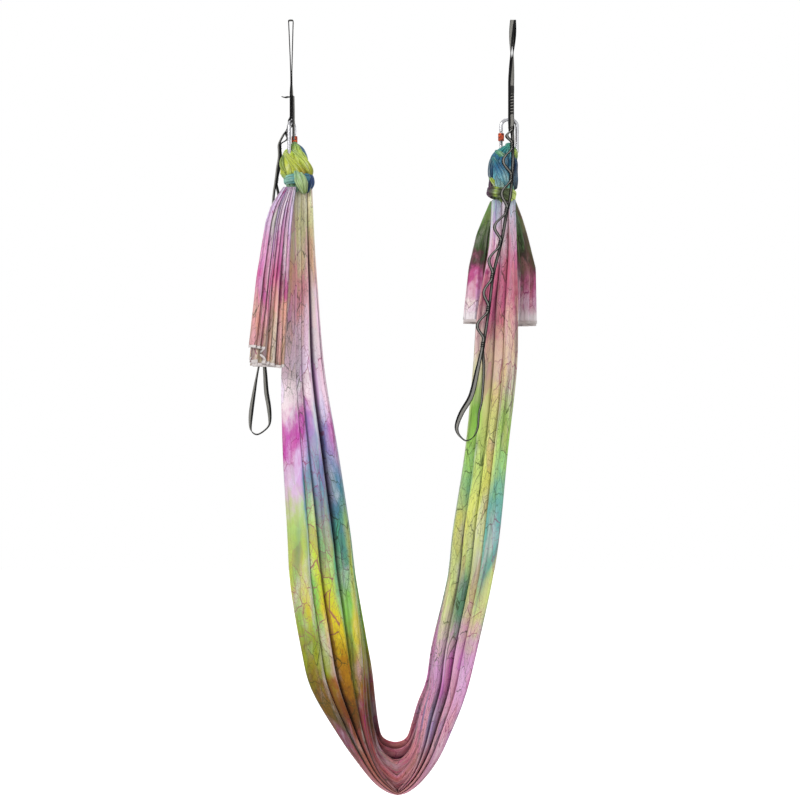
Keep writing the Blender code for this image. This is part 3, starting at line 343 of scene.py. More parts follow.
def makeCloth(name, dye):
    look = clothLook
    material, tree, shader = startMaterial(name, look["roughness"])
    uv = uvOf(tree)
    place = moveOf(tree, uv, Location=dye["shift"])
    sway = vectorCalc(tree, "SUBTRACT", noiseAt(tree, place, "sway", "Color"), (0.5, 0.5, 0.5))
    moved = vectorCalc(tree, "MULTIPLY", sway, (look["bendAcross"], look["bendAlong"], 0.0))
    bent = vectorCalc(tree, "ADD", place, moved)
    down = calc(tree, "MULTIPLY_ADD", noiseAt(tree, place, "grain"), look["grain"], axisOf(tree, bent, "Y"))
    down = calc(tree, "SUBTRACT", down, dye["start"] + look["grain"] / 2)
    share = calc(tree, "DIVIDE", down, dye["length"])
    first, second = rampOf(tree, share, dye["first"]), rampOf(tree, share, dye["second"])
    wash = blendColour(tree, maskAt(tree, bent, "patch"), first, second)
    colour = blendColour(tree, maskAt(tree, bent, "cloud"), wash, linear(*look["pale"]))
    colour = blendColour(tree, maskAt(tree, place, "dark"), colour, wash, "MULTIPLY")

    eased = vectorCalc(tree, "ADD", place, vectorCalc(tree, "MULTIPLY", moved, (look["panelBend"],) * 3))
    across, along = look["panels"]
    cells = cellsOf(tree, eased, across, along, "F1", "Color")
    luck = addNode(tree, "ShaderNodeSeparateColor", {"Color": cells}).outputs[0]
    panel = rampOf(tree, luck, look["panelTones"], "LINEAR")
    colour = blendColour(tree, look["panelStrength"], colour, panel, "MULTIPLY")

    tone = rampOf(tree, noiseAt(tree, place, "lineTone"), look["lineTones"])
    main = crackOf(tree, eased, across, along, look["lineWidth"] * look["mainWidth"])
    twigs = crackOf(tree, eased, across * look["twigs"][0], along * look["twigs"][1], look["lineWidth"])
    lines = calc(tree, "MAXIMUM", main, calc(tree, "MULTIPLY", twigs, look["twigStrength"]))
    lines = calc(tree, "MULTIPLY", lines, maskAt(tree, place, "lines"))
    colour = blendColour(tree, calc(tree, "MULTIPLY", lines, look["lineStrength"]), colour, tone)
    lace = crackOf(tree, eased, *look["mesh"], look["lineWidth"] * look["meshWidth"])
    colour = blendColour(tree, calc(tree, "MULTIPLY", lace, maskAt(tree, place, "mesh")), colour, tone)
    if "paleFrom" in dye:
        edge = rangeOf(tree, axisOf(tree, uv, "Y"), dye["paleFrom"], dye["paleFrom"] + look["edgeLength"],
                       look["edgeStrength"])
        colour = blendColour(tree, edge, colour, linear(*look["edge"]))
    streaks = rangeOf(tree, noiseAt(tree, place, "streak"), dye["streakFrom"],
                      dye["streakFrom"] + look["streakWidth"], look["streakStrength"])
    colour = blendColour(tree, streaks, colour, linear(*look["streak"]), "MULTIPLY")
    # last comes the painted shade in the folds, with knit and creases
    finishCloth(tree, shader, colour, place, "valley")
    return material


def makeKnotCloth(name):  # each fold carries its own dye, the creases run along it, and painted shade darkens the creases' valleys
    material, tree, shader = startMaterial(name, clothLook["roughness"])
    uv = uvOf(tree)
    dye = addNode(tree, "ShaderNodeAttribute", attribute_name="dye").outputs["Color"]
    colour = blendColour(tree, maskAt(tree, uv, "knotPale"), dye, linear(*clothLook["knotPale"]))
    colour = blendColour(tree, maskAt(tree, uv, "knotDark"), colour, dye, "MULTIPLY")
    finishCloth(tree, shader, colour, stretched(tree, uv, *clothLook["knotPace"]), "knotPaintedShade")
    return material


webbingLook = {
    "greyFrom": -0.0014, "greyTo": 0.0062, "weaveAcross": 1900.0, "weaveAlong": 2600.0, "fluff": 900.0,
    "grey": ((0.42, 0.42, 0.405), (0.64, 0.63, 0.60)), "black": ((0.012, 0.012, 0.016), (0.05, 0.05, 0.055)),
    "worn": (0.20, 0.20, 0.20), "roughness": 0.78, "fluffStrength": 0.35, "bump": (0.5, 0.0004),
}


def makeWebbing(name, greyShare=1.0):
    look = webbingLook
    material, tree, shader = startMaterial(name, look["roughness"])
    uv = uvOf(tree)
    aside = axisOf(tree, uv, "X")
    middle = calc(tree, "MULTIPLY", calc(tree, "GREATER_THAN", aside, look["greyFrom"]),
                  calc(tree, "LESS_THAN", aside, look["greyTo"]))
    chevron = calc(tree, "MULTIPLY", calc(tree, "ABSOLUTE", aside), look["weaveAcross"])
    slant = calc(tree, "ADD", chevron, calc(tree, "MULTIPLY", axisOf(tree, uv, "Y"), look["weaveAlong"]))
    weave = calc(tree, "MULTIPLY_ADD", calc(tree, "SINE", slant), 0.5, 0.5)
    grey, black = (blendColour(tree, weave, *(linear(*c) for c in look[tone])) for tone in ("grey", "black"))
    fluff = calc(tree, "MULTIPLY", noiseOf(tree, uv, look["fluff"]), look["fluffStrength"])
    grey = blendColour(tree, fluff, grey, linear(*look["worn"]))
    colour = blendColour(tree, calc(tree, "MULTIPLY", middle, greyShare), black, grey)
    tree.links.new(colour, shader.inputs["Base Color"])
    tree.links.new(bumpOf(tree, weave, *look["bump"]), shader.inputs["Normal"])
    return material


plainLooks = {  # surface: roughness and metal; bump: strength and distance
    "thread": {"surface": (0.6,), "grain": 1500.0, "tones": ((0.015, 0.015, 0.018), (0.06, 0.06, 0.065)),
               "bump": (0.5, 0.0003)},
    "metal": {"surface": (0.24, 1.0), "brushed": (900.0, 900.0, 60.0), "worn": 160.0, "rough": (0.16, 0.36),
              "tones": ((0.58, 0.58, 0.60), (0.76, 0.76, 0.77)), "bump": (0.12, 0.0002)},
    "sleeve": {"surface": (0.40, 0.30), "cloud": 190.0, "cloudRange": (0.40, 0.62), "pits": 1400.0,
               "tones": ((0.42, 0.12, 0.03), (0.82, 0.31, 0.08)), "bump": (0.15, 0.0002)},
    "hem": {"surface": (clothLook["roughness"],), "ribs": 2400.0, "cloud": 30.0,
            "tones": ((0.90, 0.87, 0.86), (0.72, 0.68, 0.68)), "bump": (0.3, 0.0004)},
}


def makeThread():
    look = plainLooks["thread"]
    material, tree, shader = startMaterial("blackThread", *look["surface"])
    grain = noiseOf(tree, objectPlace(tree), look["grain"])
    twoTone(tree, shader, look, grain, grain)
    return material


def makeBareMetal():
    look = plainLooks["metal"]
    material, tree, shader = startMaterial("brightMetal", *look["surface"])
    where = objectPlace(tree)
    brushed = noiseOf(tree, moveOf(tree, where, Scale=look["brushed"]), 1.0, 3.0)
    worn = noiseOf(tree, where, look["worn"], 3.0)
    twoTone(tree, shader, look, worn, brushed)
    low, high = look["rough"]
    rough = addNode(tree, "ShaderNodeMapRange", {"Value": worn, "To Min": low, "To Max": high})
    tree.links.new(rough.outputs["Result"], shader.inputs["Roughness"])
    return material


def makeSleeveMetal():
    look = plainLooks["sleeve"]
    material, tree, shader = startMaterial("orangeAnodisedMetal", *look["surface"])
    where = objectPlace(tree)
    cloud = rangeOf(tree, noiseOf(tree, where, look["cloud"], 3.0), *look["cloudRange"])
    twoTone(tree, shader, look, cloud, noiseOf(tree, where, look["pits"], 1.0))
    return material


def makeHem():
    look = plainLooks["hem"]
    material, tree, shader = startMaterial("whiteHem", *look["surface"])
    uv = uvOf(tree)
    ribs = calc(tree, "SINE", calc(tree, "MULTIPLY", axisOf(tree, uv, "X"), look["ribs"]))
    twoTone(tree, shader, look, noiseOf(tree, uv, look["cloud"]), ribs)
    return material


materials = {
    "sling": makeCloth("printedClothSling", slingDye),
    "leftTail": makeCloth("printedClothLeftTail", tailDyes["left"]),
    "rightTail": makeCloth("printedClothRightTail", tailDyes["right"]),
    "webbing": makeWebbing("twoToneWebbing"),
    "darkWebbing": makeWebbing("darkWebbing", 0.12),
    "thread": makeThread(),
    "metal": makeBareMetal(),
    "sleeve": makeSleeveMetal(),
    "hem": makeHem(),
}
print("materials ready")


webbing = {
    "halfWidth": 0.0080, "halfThick": 0.0011, "plyGap": 0.0008, "step": 0.003, "longStep": 0.004,
    "anchorSpan": 0.600, "loopDrop": 0.172, "loopHalfGape": 0.0064, "crownRadius": 0.0034,
    "loopCloseDrop": 0.140, "bendReach": 0.012, "sewnToBar": 0.0130, "sewnTurnLength": 0.024,
    "tackLength": 0.016, "hingeDrop": 0.351, "hingeGap": 0.0003, "pocketPitch": 0.0878, "pocketCount": 6,
    "pocketBulge": 0.026, "joinLength": 0.032, "rideBelowBar": 0.0085, "turnBelowBar": 0.030,
    "eyeDrop": 0.0205, "eyeLength": 0.0104, "firstBulge": 0.014, "curve": 1.5, "rodRadius": 0.005,
    "fit": 0.0006, "barHalfLength": 0.050, "tabLength": 0.023, "tabThick": 0.9, "loopLift": 0.16,
}
straps = {
    "right": {
        "sign": 1.0, "lean": 0.0055, "crownTurn": 0.0, "loopTurn": 180.0, "sewnTurn": 0.0, "barTurn": 0.0,
        "tailTurn": 65.0, "carabinerDrop": 0.3190, "hingeSide": 0.0012, "hingeDepth": -0.0370,
        "joinSide": -0.0815, "joinDepth": -0.0520, "loopWidth": 0.0700, "loopDrop": 0.2410, "tabDrop": 0.009,
        "tabFacing": -1.0, "tab": ((0.0, 0.0), (0.13, 0.07), (0.22, -0.05), (0.24, -0.38), (0.16, -0.78)),
        "lead": ((0.11, 0.1, 0.04), (0.27, 0.3, 0.25), (0.52, 0.68, 0.67), (0.79, 1.0, 1.0)),
        "route": ((0.035, 0.0, 0.712), (0.08, 0.01, 0.90), (0.23, 0.09, 1.13), (0.335, 0.23, 1.06),
                  (0.46, 0.38, 0.97), (0.61, 0.63, 0.97), (0.70, 0.72, 1.0), (0.80, 0.80, 1.0), (1, 1, 1)),
        "bulges": (1.0, 0.92, 1.0, 0.77, 0.7, 0.95),
        "endLoop": ((0.06, 0.22, 70), (-0.01, 0.54, 74), (-0.12, 0.70, 76), (-0.17, 0.86, 78),
                    (-0.34, 0.96, 84), (-0.60, 1.0, 88), (-0.80, 0.965, 84), (-0.95, 0.90, 66),
                    (-0.96, 0.82, 46), (-0.78, 0.685, 28), (-0.42, 0.50, 24), (-0.19, 0.224, 44)),
    },
    "left": {
        "sign": -1.0, "lean": 0.0015, "crownTurn": -90.0, "loopTurn": -90.0, "sewnTurn": -90.0,
        "barTurn": -73.9, "tailTurn": -115.0, "carabinerDrop": 0.3235, "hingeSide": -0.0320,
        "hingeDepth": 0.0020, "joinSide": -0.0475, "joinDepth": 0.0180, "loopWidth": 0.0527,
        "loopDrop": 0.2255, "tabDrop": 0.036, "tabFacing": 1.0,
        "tab": ((0.0, 0.0), (0.3, 0.03), (0.65, -0.02), (1.0, 0.07)),
        "lead": ((0.11, 0.04, 0.8), (0.27, 0.31, 1.6), (0.50, 0.67, 1.6), (0.79, 1.0, 1.0)),
        "route": ((0.035, 0.0, 0.111), (0.085, 0.10, 0.45), (0.125, 0.17, 0.85), (0.17, 0.25, 1.1),
                  (0.25, 0.36, 1.15), (0.50, 0.54, 1.0), (0.75, 0.77, 1.0), (1.0, 1.0, 1.0)),
        "bulges": (0.12, 0.42, 0.6, 0.75, 0.8, 0.9),
        "endLoop": ((-0.24, 0.24, -108), (-0.42, 0.48, -126), (-0.58, 0.73, -140), (-0.62, 0.90, -118),
                    (-0.53, 0.97, -100), (-0.29, 1.0, -95), (0.0, 0.97, -96), (0.31, 0.90, -102),
                    (0.38, 0.82, -122), (0.33, 0.67, -140), (0.20, 0.48, -144), (0.13, 0.24, -132)),
    },
}


class StrapLine:  # where a strap runs: its middle, how it is turned, and how far its two plies stand apart
    def __init__(self, side):
        w, s = webbing, straps[side]
        self.s = s
        crownX = s["sign"] * w["anchorSpan"] / 2
        barX = crownX - s["sign"] * s["lean"]
        self.crown = Vector((crownX, 0, 0))
        self.bar = Vector((barX, 0, w["barHalfLength"] - s["carabinerDrop"]))
        self.hinge = Vector((barX + s["hingeSide"], s["hingeDepth"], -w["hingeDrop"]))
        self.join = Vector((self.hinge.x + s["joinSide"], s["joinDepth"],
                            self.tackAt(w["pocketCount"]) + w["tackLength"] / 2 - w["joinLength"]))
        points = [Vector((barX, 0, -w["loopDrop"])), self.bar + Vector((0, 0, w["sewnToBar"])), self.bar]
        for down, over, deep in s["lead"]:
            points.append(Vector((mix(self.bar.x, self.hinge.x, over), deep * self.hinge.y,
                                  mix(self.bar.z, self.hinge.z, down))))
        points.append(self.hinge)
        for down, over, deep in s["route"]:
            points.append(Vector((mix(self.hinge.x, self.join.x, over), deep * self.join.y,
                                  mix(self.hinge.z, self.join.z, down))))
        self.line = smoothLine(points, 6)

    def tackAt(self, number):
        return webbing["tackLength"] / 2 - webbing["hingeDrop"] - number * webbing["pocketPitch"]

    def middle(self, z):
        for high, low in zip(self.line, self.line[1:]):
            if z >= low.z:
                return high.lerp(low, (high.z - z) / (high.z - low.z))
        return self.line[-1].copy()

    def turn(self, z):
        w, s = webbing, self.s
        if z > -w["loopDrop"]:
            degrees = mix(s["crownTurn"], s["loopTurn"], -z / w["loopDrop"])
        elif z > -w["loopDrop"] - w["sewnTurnLength"]:
            degrees = mix(s["sewnTurn"], s["barTurn"], (-w["loopDrop"] - z) / w["sewnTurnLength"])
        else:
            below = self.bar.z - w["rideBelowBar"] - z
            degrees = mix(s["barTurn"], s["tailTurn"], soften(below / w["turnBelowBar"]))
        return math.radians(degrees)

    def across(self, z):
        return Vector((math.cos(self.turn(z)), -math.sin(self.turn(z)), 0))

    def back(self, z):
        return Vector((math.sin(self.turn(z)), math.cos(self.turn(z)), 0))

    def closed(self, z):
        w = webbing
        step = 2 * w["halfThick"]
        slope = (self.middle(z + step) - self.middle(z - step)).dot(self.back(z))
        twist = (self.turn(z + step) - self.turn(z - step)) * w["halfWidth"]
        return (w["halfThick"] + w["plyGap"] / 2) * math.hypot(1.0, (abs(slope) + abs(twist)) / (2 * step))

    def barOffset(self, z):
        w = webbing
        closed, reach = w["halfThick"] + w["plyGap"] / 2, w["rodRadius"] + w["halfThick"] + w["fit"]
        high = z - self.bar.z
        if high < 0:
            share = soften((-high - w["rideBelowBar"]) / (w["eyeDrop"] - w["rideBelowBar"]))
            return mix(reach, self.closed(z), share)
        top = w["sewnToBar"] - 2 * w["halfThick"]
        leave = math.acos(reach / math.hypot(closed, top)) + math.atan2(closed, top)
        leaveHigh = reach * math.cos(leave)
        if high < leaveHigh:
            return math.sqrt(reach ** 2 - high ** 2)
        return mix(reach * math.sin(leave), closed, clamp01((high - leaveHigh) / (top - leaveHigh)))

    def mainPly(self, z):
        return self.middle(z) + self.back(z) * self.barOffset(z)

    def pocketOut(self, z):
        w = webbing
        closed, top = self.closed(z), self.tackAt(0) + w["tackLength"] / 2
        eyeEnd = self.bar.z - w["eyeDrop"] - w["eyeLength"]
        if z >= eyeEnd:
            return self.barOffset(z)
        if z >= top:
            return closed + w["firstBulge"] * math.sin(math.pi * (eyeEnd - z) / (eyeEnd - top)) ** w["curve"]
        number = int((self.tackAt(0) - z) / w["pocketPitch"])
        if number >= w["pocketCount"]:
            return closed
        start = self.tackAt(number) - w["tackLength"] / 2
        share = (start - z) / (w["pocketPitch"] - w["tackLength"])
        if not 0.0 < share < 1.0:
            return closed
        return closed + w["pocketBulge"] * self.s["bulges"][number] * math.sin(math.pi * share) ** w["curve"]

    def pocketPly(self, z):
        return self.middle(z) - self.back(z) * self.pocketOut(z)


ribbonEdge = ((1.0, 0.0), (0.985, 0.45), (0.945, 0.85), (0.88, 1.0), (0.58, 1.0), (0.0, 1.0))


def ribbon(name, points, acrosses, thick=1.0, facing=1, finish="webbing"):  # with its own cut coordinates
    w, t = webbing["halfWidth"], webbing["halfThick"] * thick
    profile = [(a * w, b * t) for a, b in ribbonEdge] + [(-a * w, b * t) for a, b in ribbonEdge[-2::-1]]
    profile += [(a, -b) for a, b in profile[-2:0:-1]]
    verts, uvs, run = [], [], 0.0
    for i, point in enumerate(points):
        if i:
            run += (point - points[i - 1]).length
        along = headingAt(points, i)
        across = (acrosses[i] - along * acrosses[i].dot(along)).normalized()
        out = along.cross(across)
        for a, b in profile:
            verts.append(point + across * a + out * b)
            uvs.append((a * facing, run))
    piece = addPiece(name, verts, ringFaces(len(points), len(profile)), materials[finish], uvs)
    facesOut(piece, 50)
    return piece


def dress(piece, body, slot, *replaced):
    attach(piece, body)
    if replaced:
        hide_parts(*replaced)


def dressOverHinge(piece, node):  # the real webbing bends where the hammock swings; this piece is only baked in place
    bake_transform(piece)
    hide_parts(node)


def makeAnchorLoop(side, strap):
    w = webbing
    top, closed, steps = -w["halfThick"], w["halfThick"] + w["plyGap"] / 2, 12
    bottom = Vector((strap.bar.x, 0, -w["loopDrop"]))
    strands = []
    for sign in (1, -1):
        strand = []
        for z in spread(top - w["crownRadius"], -w["loopDrop"] + 0.00001, w["longStep"]):
            share = min(1.0, (z - top) / (-w["loopCloseDrop"] - top))
            middle = strap.crown.lerp(bottom, -z / w["loopDrop"])
            gape = mix(w["loopHalfGape"], closed, share ** 0.9)
            strand.append((Vector((middle.x, 0, z)) + strap.back(z) * gape * sign, strap.across(z)))
        strands.append(strand)
    flat, back = w["loopHalfGape"] - w["crownRadius"], strap.back(0)
    arc = []
    for i in range(1, steps):
        angle = math.pi * i / steps
        over = math.cos(angle) * w["crownRadius"] + (flat if i < steps / 2 else -flat if i > steps / 2 else 0)
        high = top + w["crownRadius"] * (math.sin(angle) - 1)
        arc.append((strap.crown + back * over + Vector((0, 0, high)), strap.across(0)))
    points, acrosses = zip(*strands[0][::-1], *arc, *strands[1])
    dressOverHinge(ribbon(f"{side}AnchorLoop", points, acrosses, facing=-1), f"{side}_anchor_loop")


def makeSewnSection(side, strap):
    w = webbing
    zs = spread(-w["loopDrop"], strap.bar.z + w["sewnToBar"], w["longStep"])
    offset = w["halfThick"] + w["plyGap"] / 2
    for name, sign in (("SewnBackPly", 1), ("SewnFrontPly", -1)):
        piece = ribbon(f"{side}{name}", [strap.middle(z) + strap.back(z) * offset * sign for z in zs],
                       [strap.across(z) for z in zs])
        dressOverHinge(piece, f"{side}_sewn_section")


def makePlies(side, strap):
    w = webbing
    top, hinge, tail = strap.bar.z + w["sewnToBar"], -w["hingeDrop"], f"{side}_strap_tail"
    for name, ply, high, low, body, node in (
            ("EyeBackPly", strap.mainPly, top, hinge + w["hingeGap"], "hammock", "carrying_band"),
            ("EyeFrontPly", strap.pocketPly, top, hinge + w["hingeGap"], "hammock", "carrying_pocket"),
            ("ChainBand", strap.mainPly, hinge, strap.join.z, tail, "strap_band"),
            ("ChainPockets", strap.pocketPly, hinge, strap.join.z, tail, "pocket_band")):
        zs = spread(high, low, w["step"])
        piece = ribbon(f"{side}{name}", [ply(z) for z in zs], [strap.across(z) for z in zs])
        dress(piece, body, "webbing", f"{side}_{node}")


def makeEndLoop(side, strap):
    s, steps = strap.s, 8
    top, turn = strap.join.z, math.radians(s["tailTurn"])
    rows = [(strap.mainPly(top), turn)]
    for over, down, degrees in s["endLoop"]:
        place = Vector((strap.join.x + over * s["loopWidth"], strap.join.y, top - down * s["loopDrop"]))
        rows.append((place, math.radians(degrees)))
    rows.append((strap.pocketPly(top), turn))
    points = smoothLine([p for p, _ in rows], steps)
    turns = [v.x for v in smoothLine([Vector((a, 0, 0)) for _, a in rows], steps)]
    lifts = [webbing["loopLift"] * math.sin(math.pi * i / (len(turns) - 1)) for i in range(len(turns))]
    acrosses = [Vector((math.cos(a), -math.sin(a), lift)) for a, lift in zip(turns, lifts)]
    dress(ribbon(f"{side}EndLoop", points, acrosses), f"{side}_strap_tail", "webbing", f"{side}_end_loop")


def makeEndTab(side, strap):
    w, s = webbing, strap.s
    z = -w["loopDrop"] - s["tabDrop"]
    root = strap.middle(z)
    out, stand = strap.back(z) * s["tabFacing"], 2 * w["halfThick"] + w["plyGap"] / 2 + 0.0003
    points = smoothLine([root + out * (stand + w["tabLength"] * away) + Vector((0, 0, w["tabLength"] * up))
                         for away, up in s["tab"]], 6)
    acrosses = [strap.across(z)] * len(points)
    piece = ribbon(f"{side}EndTab", points, acrosses, w["tabThick"], finish="darkWebbing")
    dress(piece, "hammock", "webbing", f"{side}_end_tab")


looseEnd = {"drop": 0.0330, "length": 0.120, "step": 0.004, "overStitches": 0.0010, "clear": 0.0014,
            "forward": 0.012, "spreadShare": 0.45}


def makeLooseEnd(side, strap):  # the webbing's own end hangs down beside the carabiner
    w, e = webbing, looseEnd
    top, thick = -w["loopDrop"] - e["drop"], 2 * w["halfThick"]
    sewn = thick * 1.5 + w["plyGap"] / 2 + e["overStitches"] + w["fit"]
    pastBar = w["rodRadius"] + w["fit"] + thick * 1.5 + e["clear"]
    out, forward = -strap.back(top), strap.across(top)
    if forward.y > 0:
        forward = -forward
    root, points = strap.middle(top), []
    for z in spread(top, top - e["length"], e["step"]):
        share = soften((top - z) / (e["length"] * e["spreadShare"]))
        away = out * mix(sewn, pastBar, share) + forward * e["forward"] * share
        points.append(Vector((root.x, root.y, z)) + away)
    piece = ribbon(f"{side}LooseEnd", points, [strap.across(top)] * len(points))
    dress(piece, "hammock", "webbing", f"{side}_loose_end")


stitches = {"barLength": 0.0146, "barStep": 0.0052, "barThick": 0.0034, "threadRadius": 0.00075,
            "threadRise": 1.3, "threadsPerBar": 15, "lift": 0.0002, "sewnCount": 7, "sewnStep": 0.0080,
            "sewnThick": 0.0056, "sewnSlant": 0.20, "beadSides": 6, "beadRings": 4}


def makeStitchTree():  # one bar of dense thread on each point, turned by the point's own directions
    tree = bpy.data.node_groups.new("stitchBars", "GeometryNodeTree")
    face = tree.interface
    face.new_socket("Geometry", in_out="INPUT", socket_type="NodeSocketGeometry")
    for label, value in (("Bar Length", stitches["barLength"]), ("Bar Thickness", stitches["barThick"]),
                         ("Thread Radius", stitches["threadRadius"])):
        face.new_socket(label, in_out="INPUT", socket_type="NodeSocketFloat").default_value = value
    threads = face.new_socket("Threads", in_out="INPUT", socket_type="NodeSocketInt")
    threads.default_value = stitches["threadsPerBar"]
    face.new_socket("Thread Material", in_out="INPUT", socket_type="NodeSocketMaterial")
    face.new_socket("Geometry", in_out="OUTPUT", socket_type="NodeSocketGeometry")
    read = tree.nodes.new("NodeGroupInput").outputs

    def add(kind, output=0, inputs=None, **settings):
        return addNode(tree, kind, inputs, **settings).outputs[output]

    half = calc(tree, "MULTIPLY", read["Bar Length"], 0.5)
    start = add("ShaderNodeCombineXYZ", 0, {"X": calc(tree, "MULTIPLY", half, -1.0)})
    end = add("ShaderNodeCombineXYZ", 0, {"X": half})
    row = add("GeometryNodeMeshLine", 0, {"Count": read["Threads"], "Start Location": start, "Offset": end},
              mode="END_POINTS")
    bead = add("GeometryNodeMeshUVSphere", 0, {
        "Segments": stitches["beadSides"], "Rings": stitches["beadRings"], "Radius": read["Thread Radius"]})
    double = calc(tree, "MULTIPLY", read["Thread Radius"], 2.0)
    size = add("ShaderNodeCombineXYZ", 0, {"X": 1.0, "Y": calc(tree, "DIVIDE", read["Bar Thickness"], double),
                                           "Z": stitches["threadRise"]})
    thread = add("GeometryNodeTransform", 0, {"Geometry": bead, "Scale": size})
    bar = add("GeometryNodeInstanceOnPoints", "Instances", {"Points": row, "Instance": thread})
    solid = add("GeometryNodeRealizeInstances", 0, {"Geometry": bar})
    named, turn = "GeometryNodeInputNamedAttribute", "FunctionNodeAlignRotationToVector"
    out, wide = (add(named, "Attribute", {"Name": label}, data_type="FLOAT_VECTOR")
                 for label in ("outward", "across"))
    up = add(turn, 0, {"Vector": out}, axis="Z")
    turned = add(turn, 0, {"Rotation": up, "Vector": wide}, axis="X", pivot_axis="Z")
    bars = add("GeometryNodeInstanceOnPoints", "Instances", {"Points": read["Geometry"], "Instance": solid,
                                                             "Rotation": turned})
    real = add("GeometryNodeRealizeInstances", 0, {"Geometry": bars})
    paint = add("GeometryNodeSetMaterial", 0, {"Geometry": real, "Material": read["Thread Material"]})
    tree.links.new(paint, tree.nodes.new("NodeGroupOutput").inputs[0])
    return tree


stitchTree = makeStitchTree()


def makeStitches(name, places, body, node, thick=stitches["barThick"]):  # places: point, outward, across
    mesh = bpy.data.meshes.new(name)
    mesh.from_pydata([tuple(p) for p, _, _ in places], [], [])
    for index, label in enumerate(("outward", "across"), 1):
        layer = mesh.attributes.new(label, "FLOAT_VECTOR", "POINT")
        for i, place in enumerate(places):
            layer.data[i].vector = place[index]
    points = showObject(name, mesh)
    modifier = points.modifiers.new("stitches", "NODES")
    modifier.node_group = stitchTree
    inputs = {"Thread Material": materials["thread"], "Bar Thickness": thick}
    for item in stitchTree.interface.items_tree:
        if item.item_type == "SOCKET" and item.in_out == "INPUT" and item.name in inputs:
            modifier[item.identifier] = inputs[item.name]
    bpy.context.view_layer.update()
    made = bpy.data.meshes.new_from_object(points.evaluated_get(bpy.context.evaluated_depsgraph_get()))
    points.modifiers.clear()
    points.data = made
    made.name = name
    made.shade_smooth()
    dress(points, body, "thread", node)


def stitchPlaces(strap, line, z, count, standOff, step=stitches["barStep"], slant=0.0):
    places = []
    for i in range(count):
        here = z + (count - 1) * step / 2 - i * step
        along = (line(here + step / 2) - line(here - step / 2)).normalized()
        across = strap.across(here)
        across = (across - along * across.dot(along)).normalized()
        out = along.cross(across)
        if out.dot(strap.back(here)) > 0:
            out = -out
        point = line(here) + out * (standOff + stitches["lift"])
        places.append((point, out, (across + along * slant).normalized()))
    return places


def makeStrap(side):
    strap, w, t = StrapLine(side), webbing, stitches
    makeAnchorLoop(side, strap)
    makeSewnSection(side, strap)
    makePlies(side, strap)
    makeEndLoop(side, strap)
    makeEndTab(side, strap)
    if side == "left":
        makeLooseEnd(side, strap)
    z = strap.bar.z + w["sewnToBar"] + t["sewnCount"] * t["sewnStep"] / 2
    places = stitchPlaces(strap, strap.middle, z, t["sewnCount"], 2 * w["halfThick"] + w["plyGap"] / 2,
                          t["sewnStep"], t["sewnSlant"])
    makeStitches(f"{side}SewnStitches", places, "hammock", f"{side}_sewn_bars", t["sewnThick"])
    eye = strap.bar.z - w["eyeDrop"] - w["eyeLength"] / 2
    places = stitchPlaces(strap, strap.pocketPly, eye, 2, w["halfThick"])
    makeStitches(f"{side}EyeStitches", places, "hammock", f"{side}_eye_bartack")
    for number in range(w["pocketCount"] + 1):
        z = strap.tackAt(number)
        if number == w["pocketCount"]:
            z += (w["tackLength"] - w["joinLength"]) / 2
        places = stitchPlaces(strap, strap.pocketPly, z, 3, w["halfThick"])
        makeStitches(f"{side}Bartack{number + 1}", places, f"{side}_strap_tail" if number else "hammock",
                     f"{side}_bartack_{number + 1}")
    return strap


strapLines = {side: makeStrap(side) for side in sides}
print("straps ready")


carabiner = {
    "rod": 0.005, "halfReach": 0.0215, "halfLength": 0.050, "corner": 0.0185, "cornerSteps": 14,
    "gate": 0.0047, "pivotBelow": 0.0240, "noseAbove": 0.0165, "noseGap": 0.0005, "hingeRoom": 0.0066,
    "tongue": 0.004, "tongueWidth": 1.9, "tongueSink": 0.001, "tongueBevel": 0.0005, "gateFit": 0.0003,
    "threadFrom": -0.0180, "threadStep": 0.00055, "threadDeep": 0.00022, "threadRows": 56,
    "sleeveRadius": 0.0081, "sleeveLength": 0.021, "sleeveAbove": 0.0025, "sleeveFit": 0.0003, "flutes": 22,
    "fluteSteps": 6, "fluteDepth": 0.0006, "fluteCurve": 0.6, "fluteFade": 0.0008, "bodySteps": 10,
    "sleeveLip": 0.0005, "sleeveFlare": 0.0006, "sharpFrom": 38, "collarEnd": 0.0030,
    "rodSides": 28, "pinSides": 20, "turn": {"right": 0.0, "left": -106.1},
    "shift": {"right": -0.0055, "left": -0.0035},
    # shares of the way along the gate's side, each with its share of the rod's thickness, and along the spine
    "hingeEnd": ((0.0, 0.86), (0.05, 0.97), (0.12, 1.0), (0.4, 1.0)),
    "noseEnd": ((0.5, 1.0), (0.85, 1.0), (0.93, 0.98), (0.97, 0.93), (1.0, 0.80)),
    "spine": (0.1, 0.3, 0.5, 0.7, 0.9),
    # the gate's two ends: share of its radius, and how far up from the end
    "gateFoot": ((0.8, 0.0), (0.96, 0.0006), (1.0, 0.0014)), "gateHead": ((0.96, -0.0008), (0.82, 0.0)),
    "gateCore": 0.0006, "gateNeck": ((1.0, -0.0005), (0.95, -0.0002)),
    # radius and place from the middle of the pin, and the sleeve's shoulder from its end
    "pinHead": ((0.0003, 0.0052), (0.0019, 0.0052), (0.0024, 0.0049), (0.0024, 0.0046), (0.0015, 0.0045)),
    "shoulder": ((-0.0011, 0), (-0.0003, 0.0004), (0, 0.0012), (0, 0.0021), (-0.0004, 0.0024), (0, 0.0030)),
}


def lathe(name, profile, count, material, closed=False, shape=None):
    verts = []
    for radius, z in profile:
        for i in range(count):
            angle = 2 * math.pi * i / count
            r = shape(radius, z, i) if shape else radius
            verts.append(Vector((r * math.cos(angle), r * math.sin(angle), z)))
    return addPiece(name, verts, ringFaces(len(profile), count, closed=closed), material)


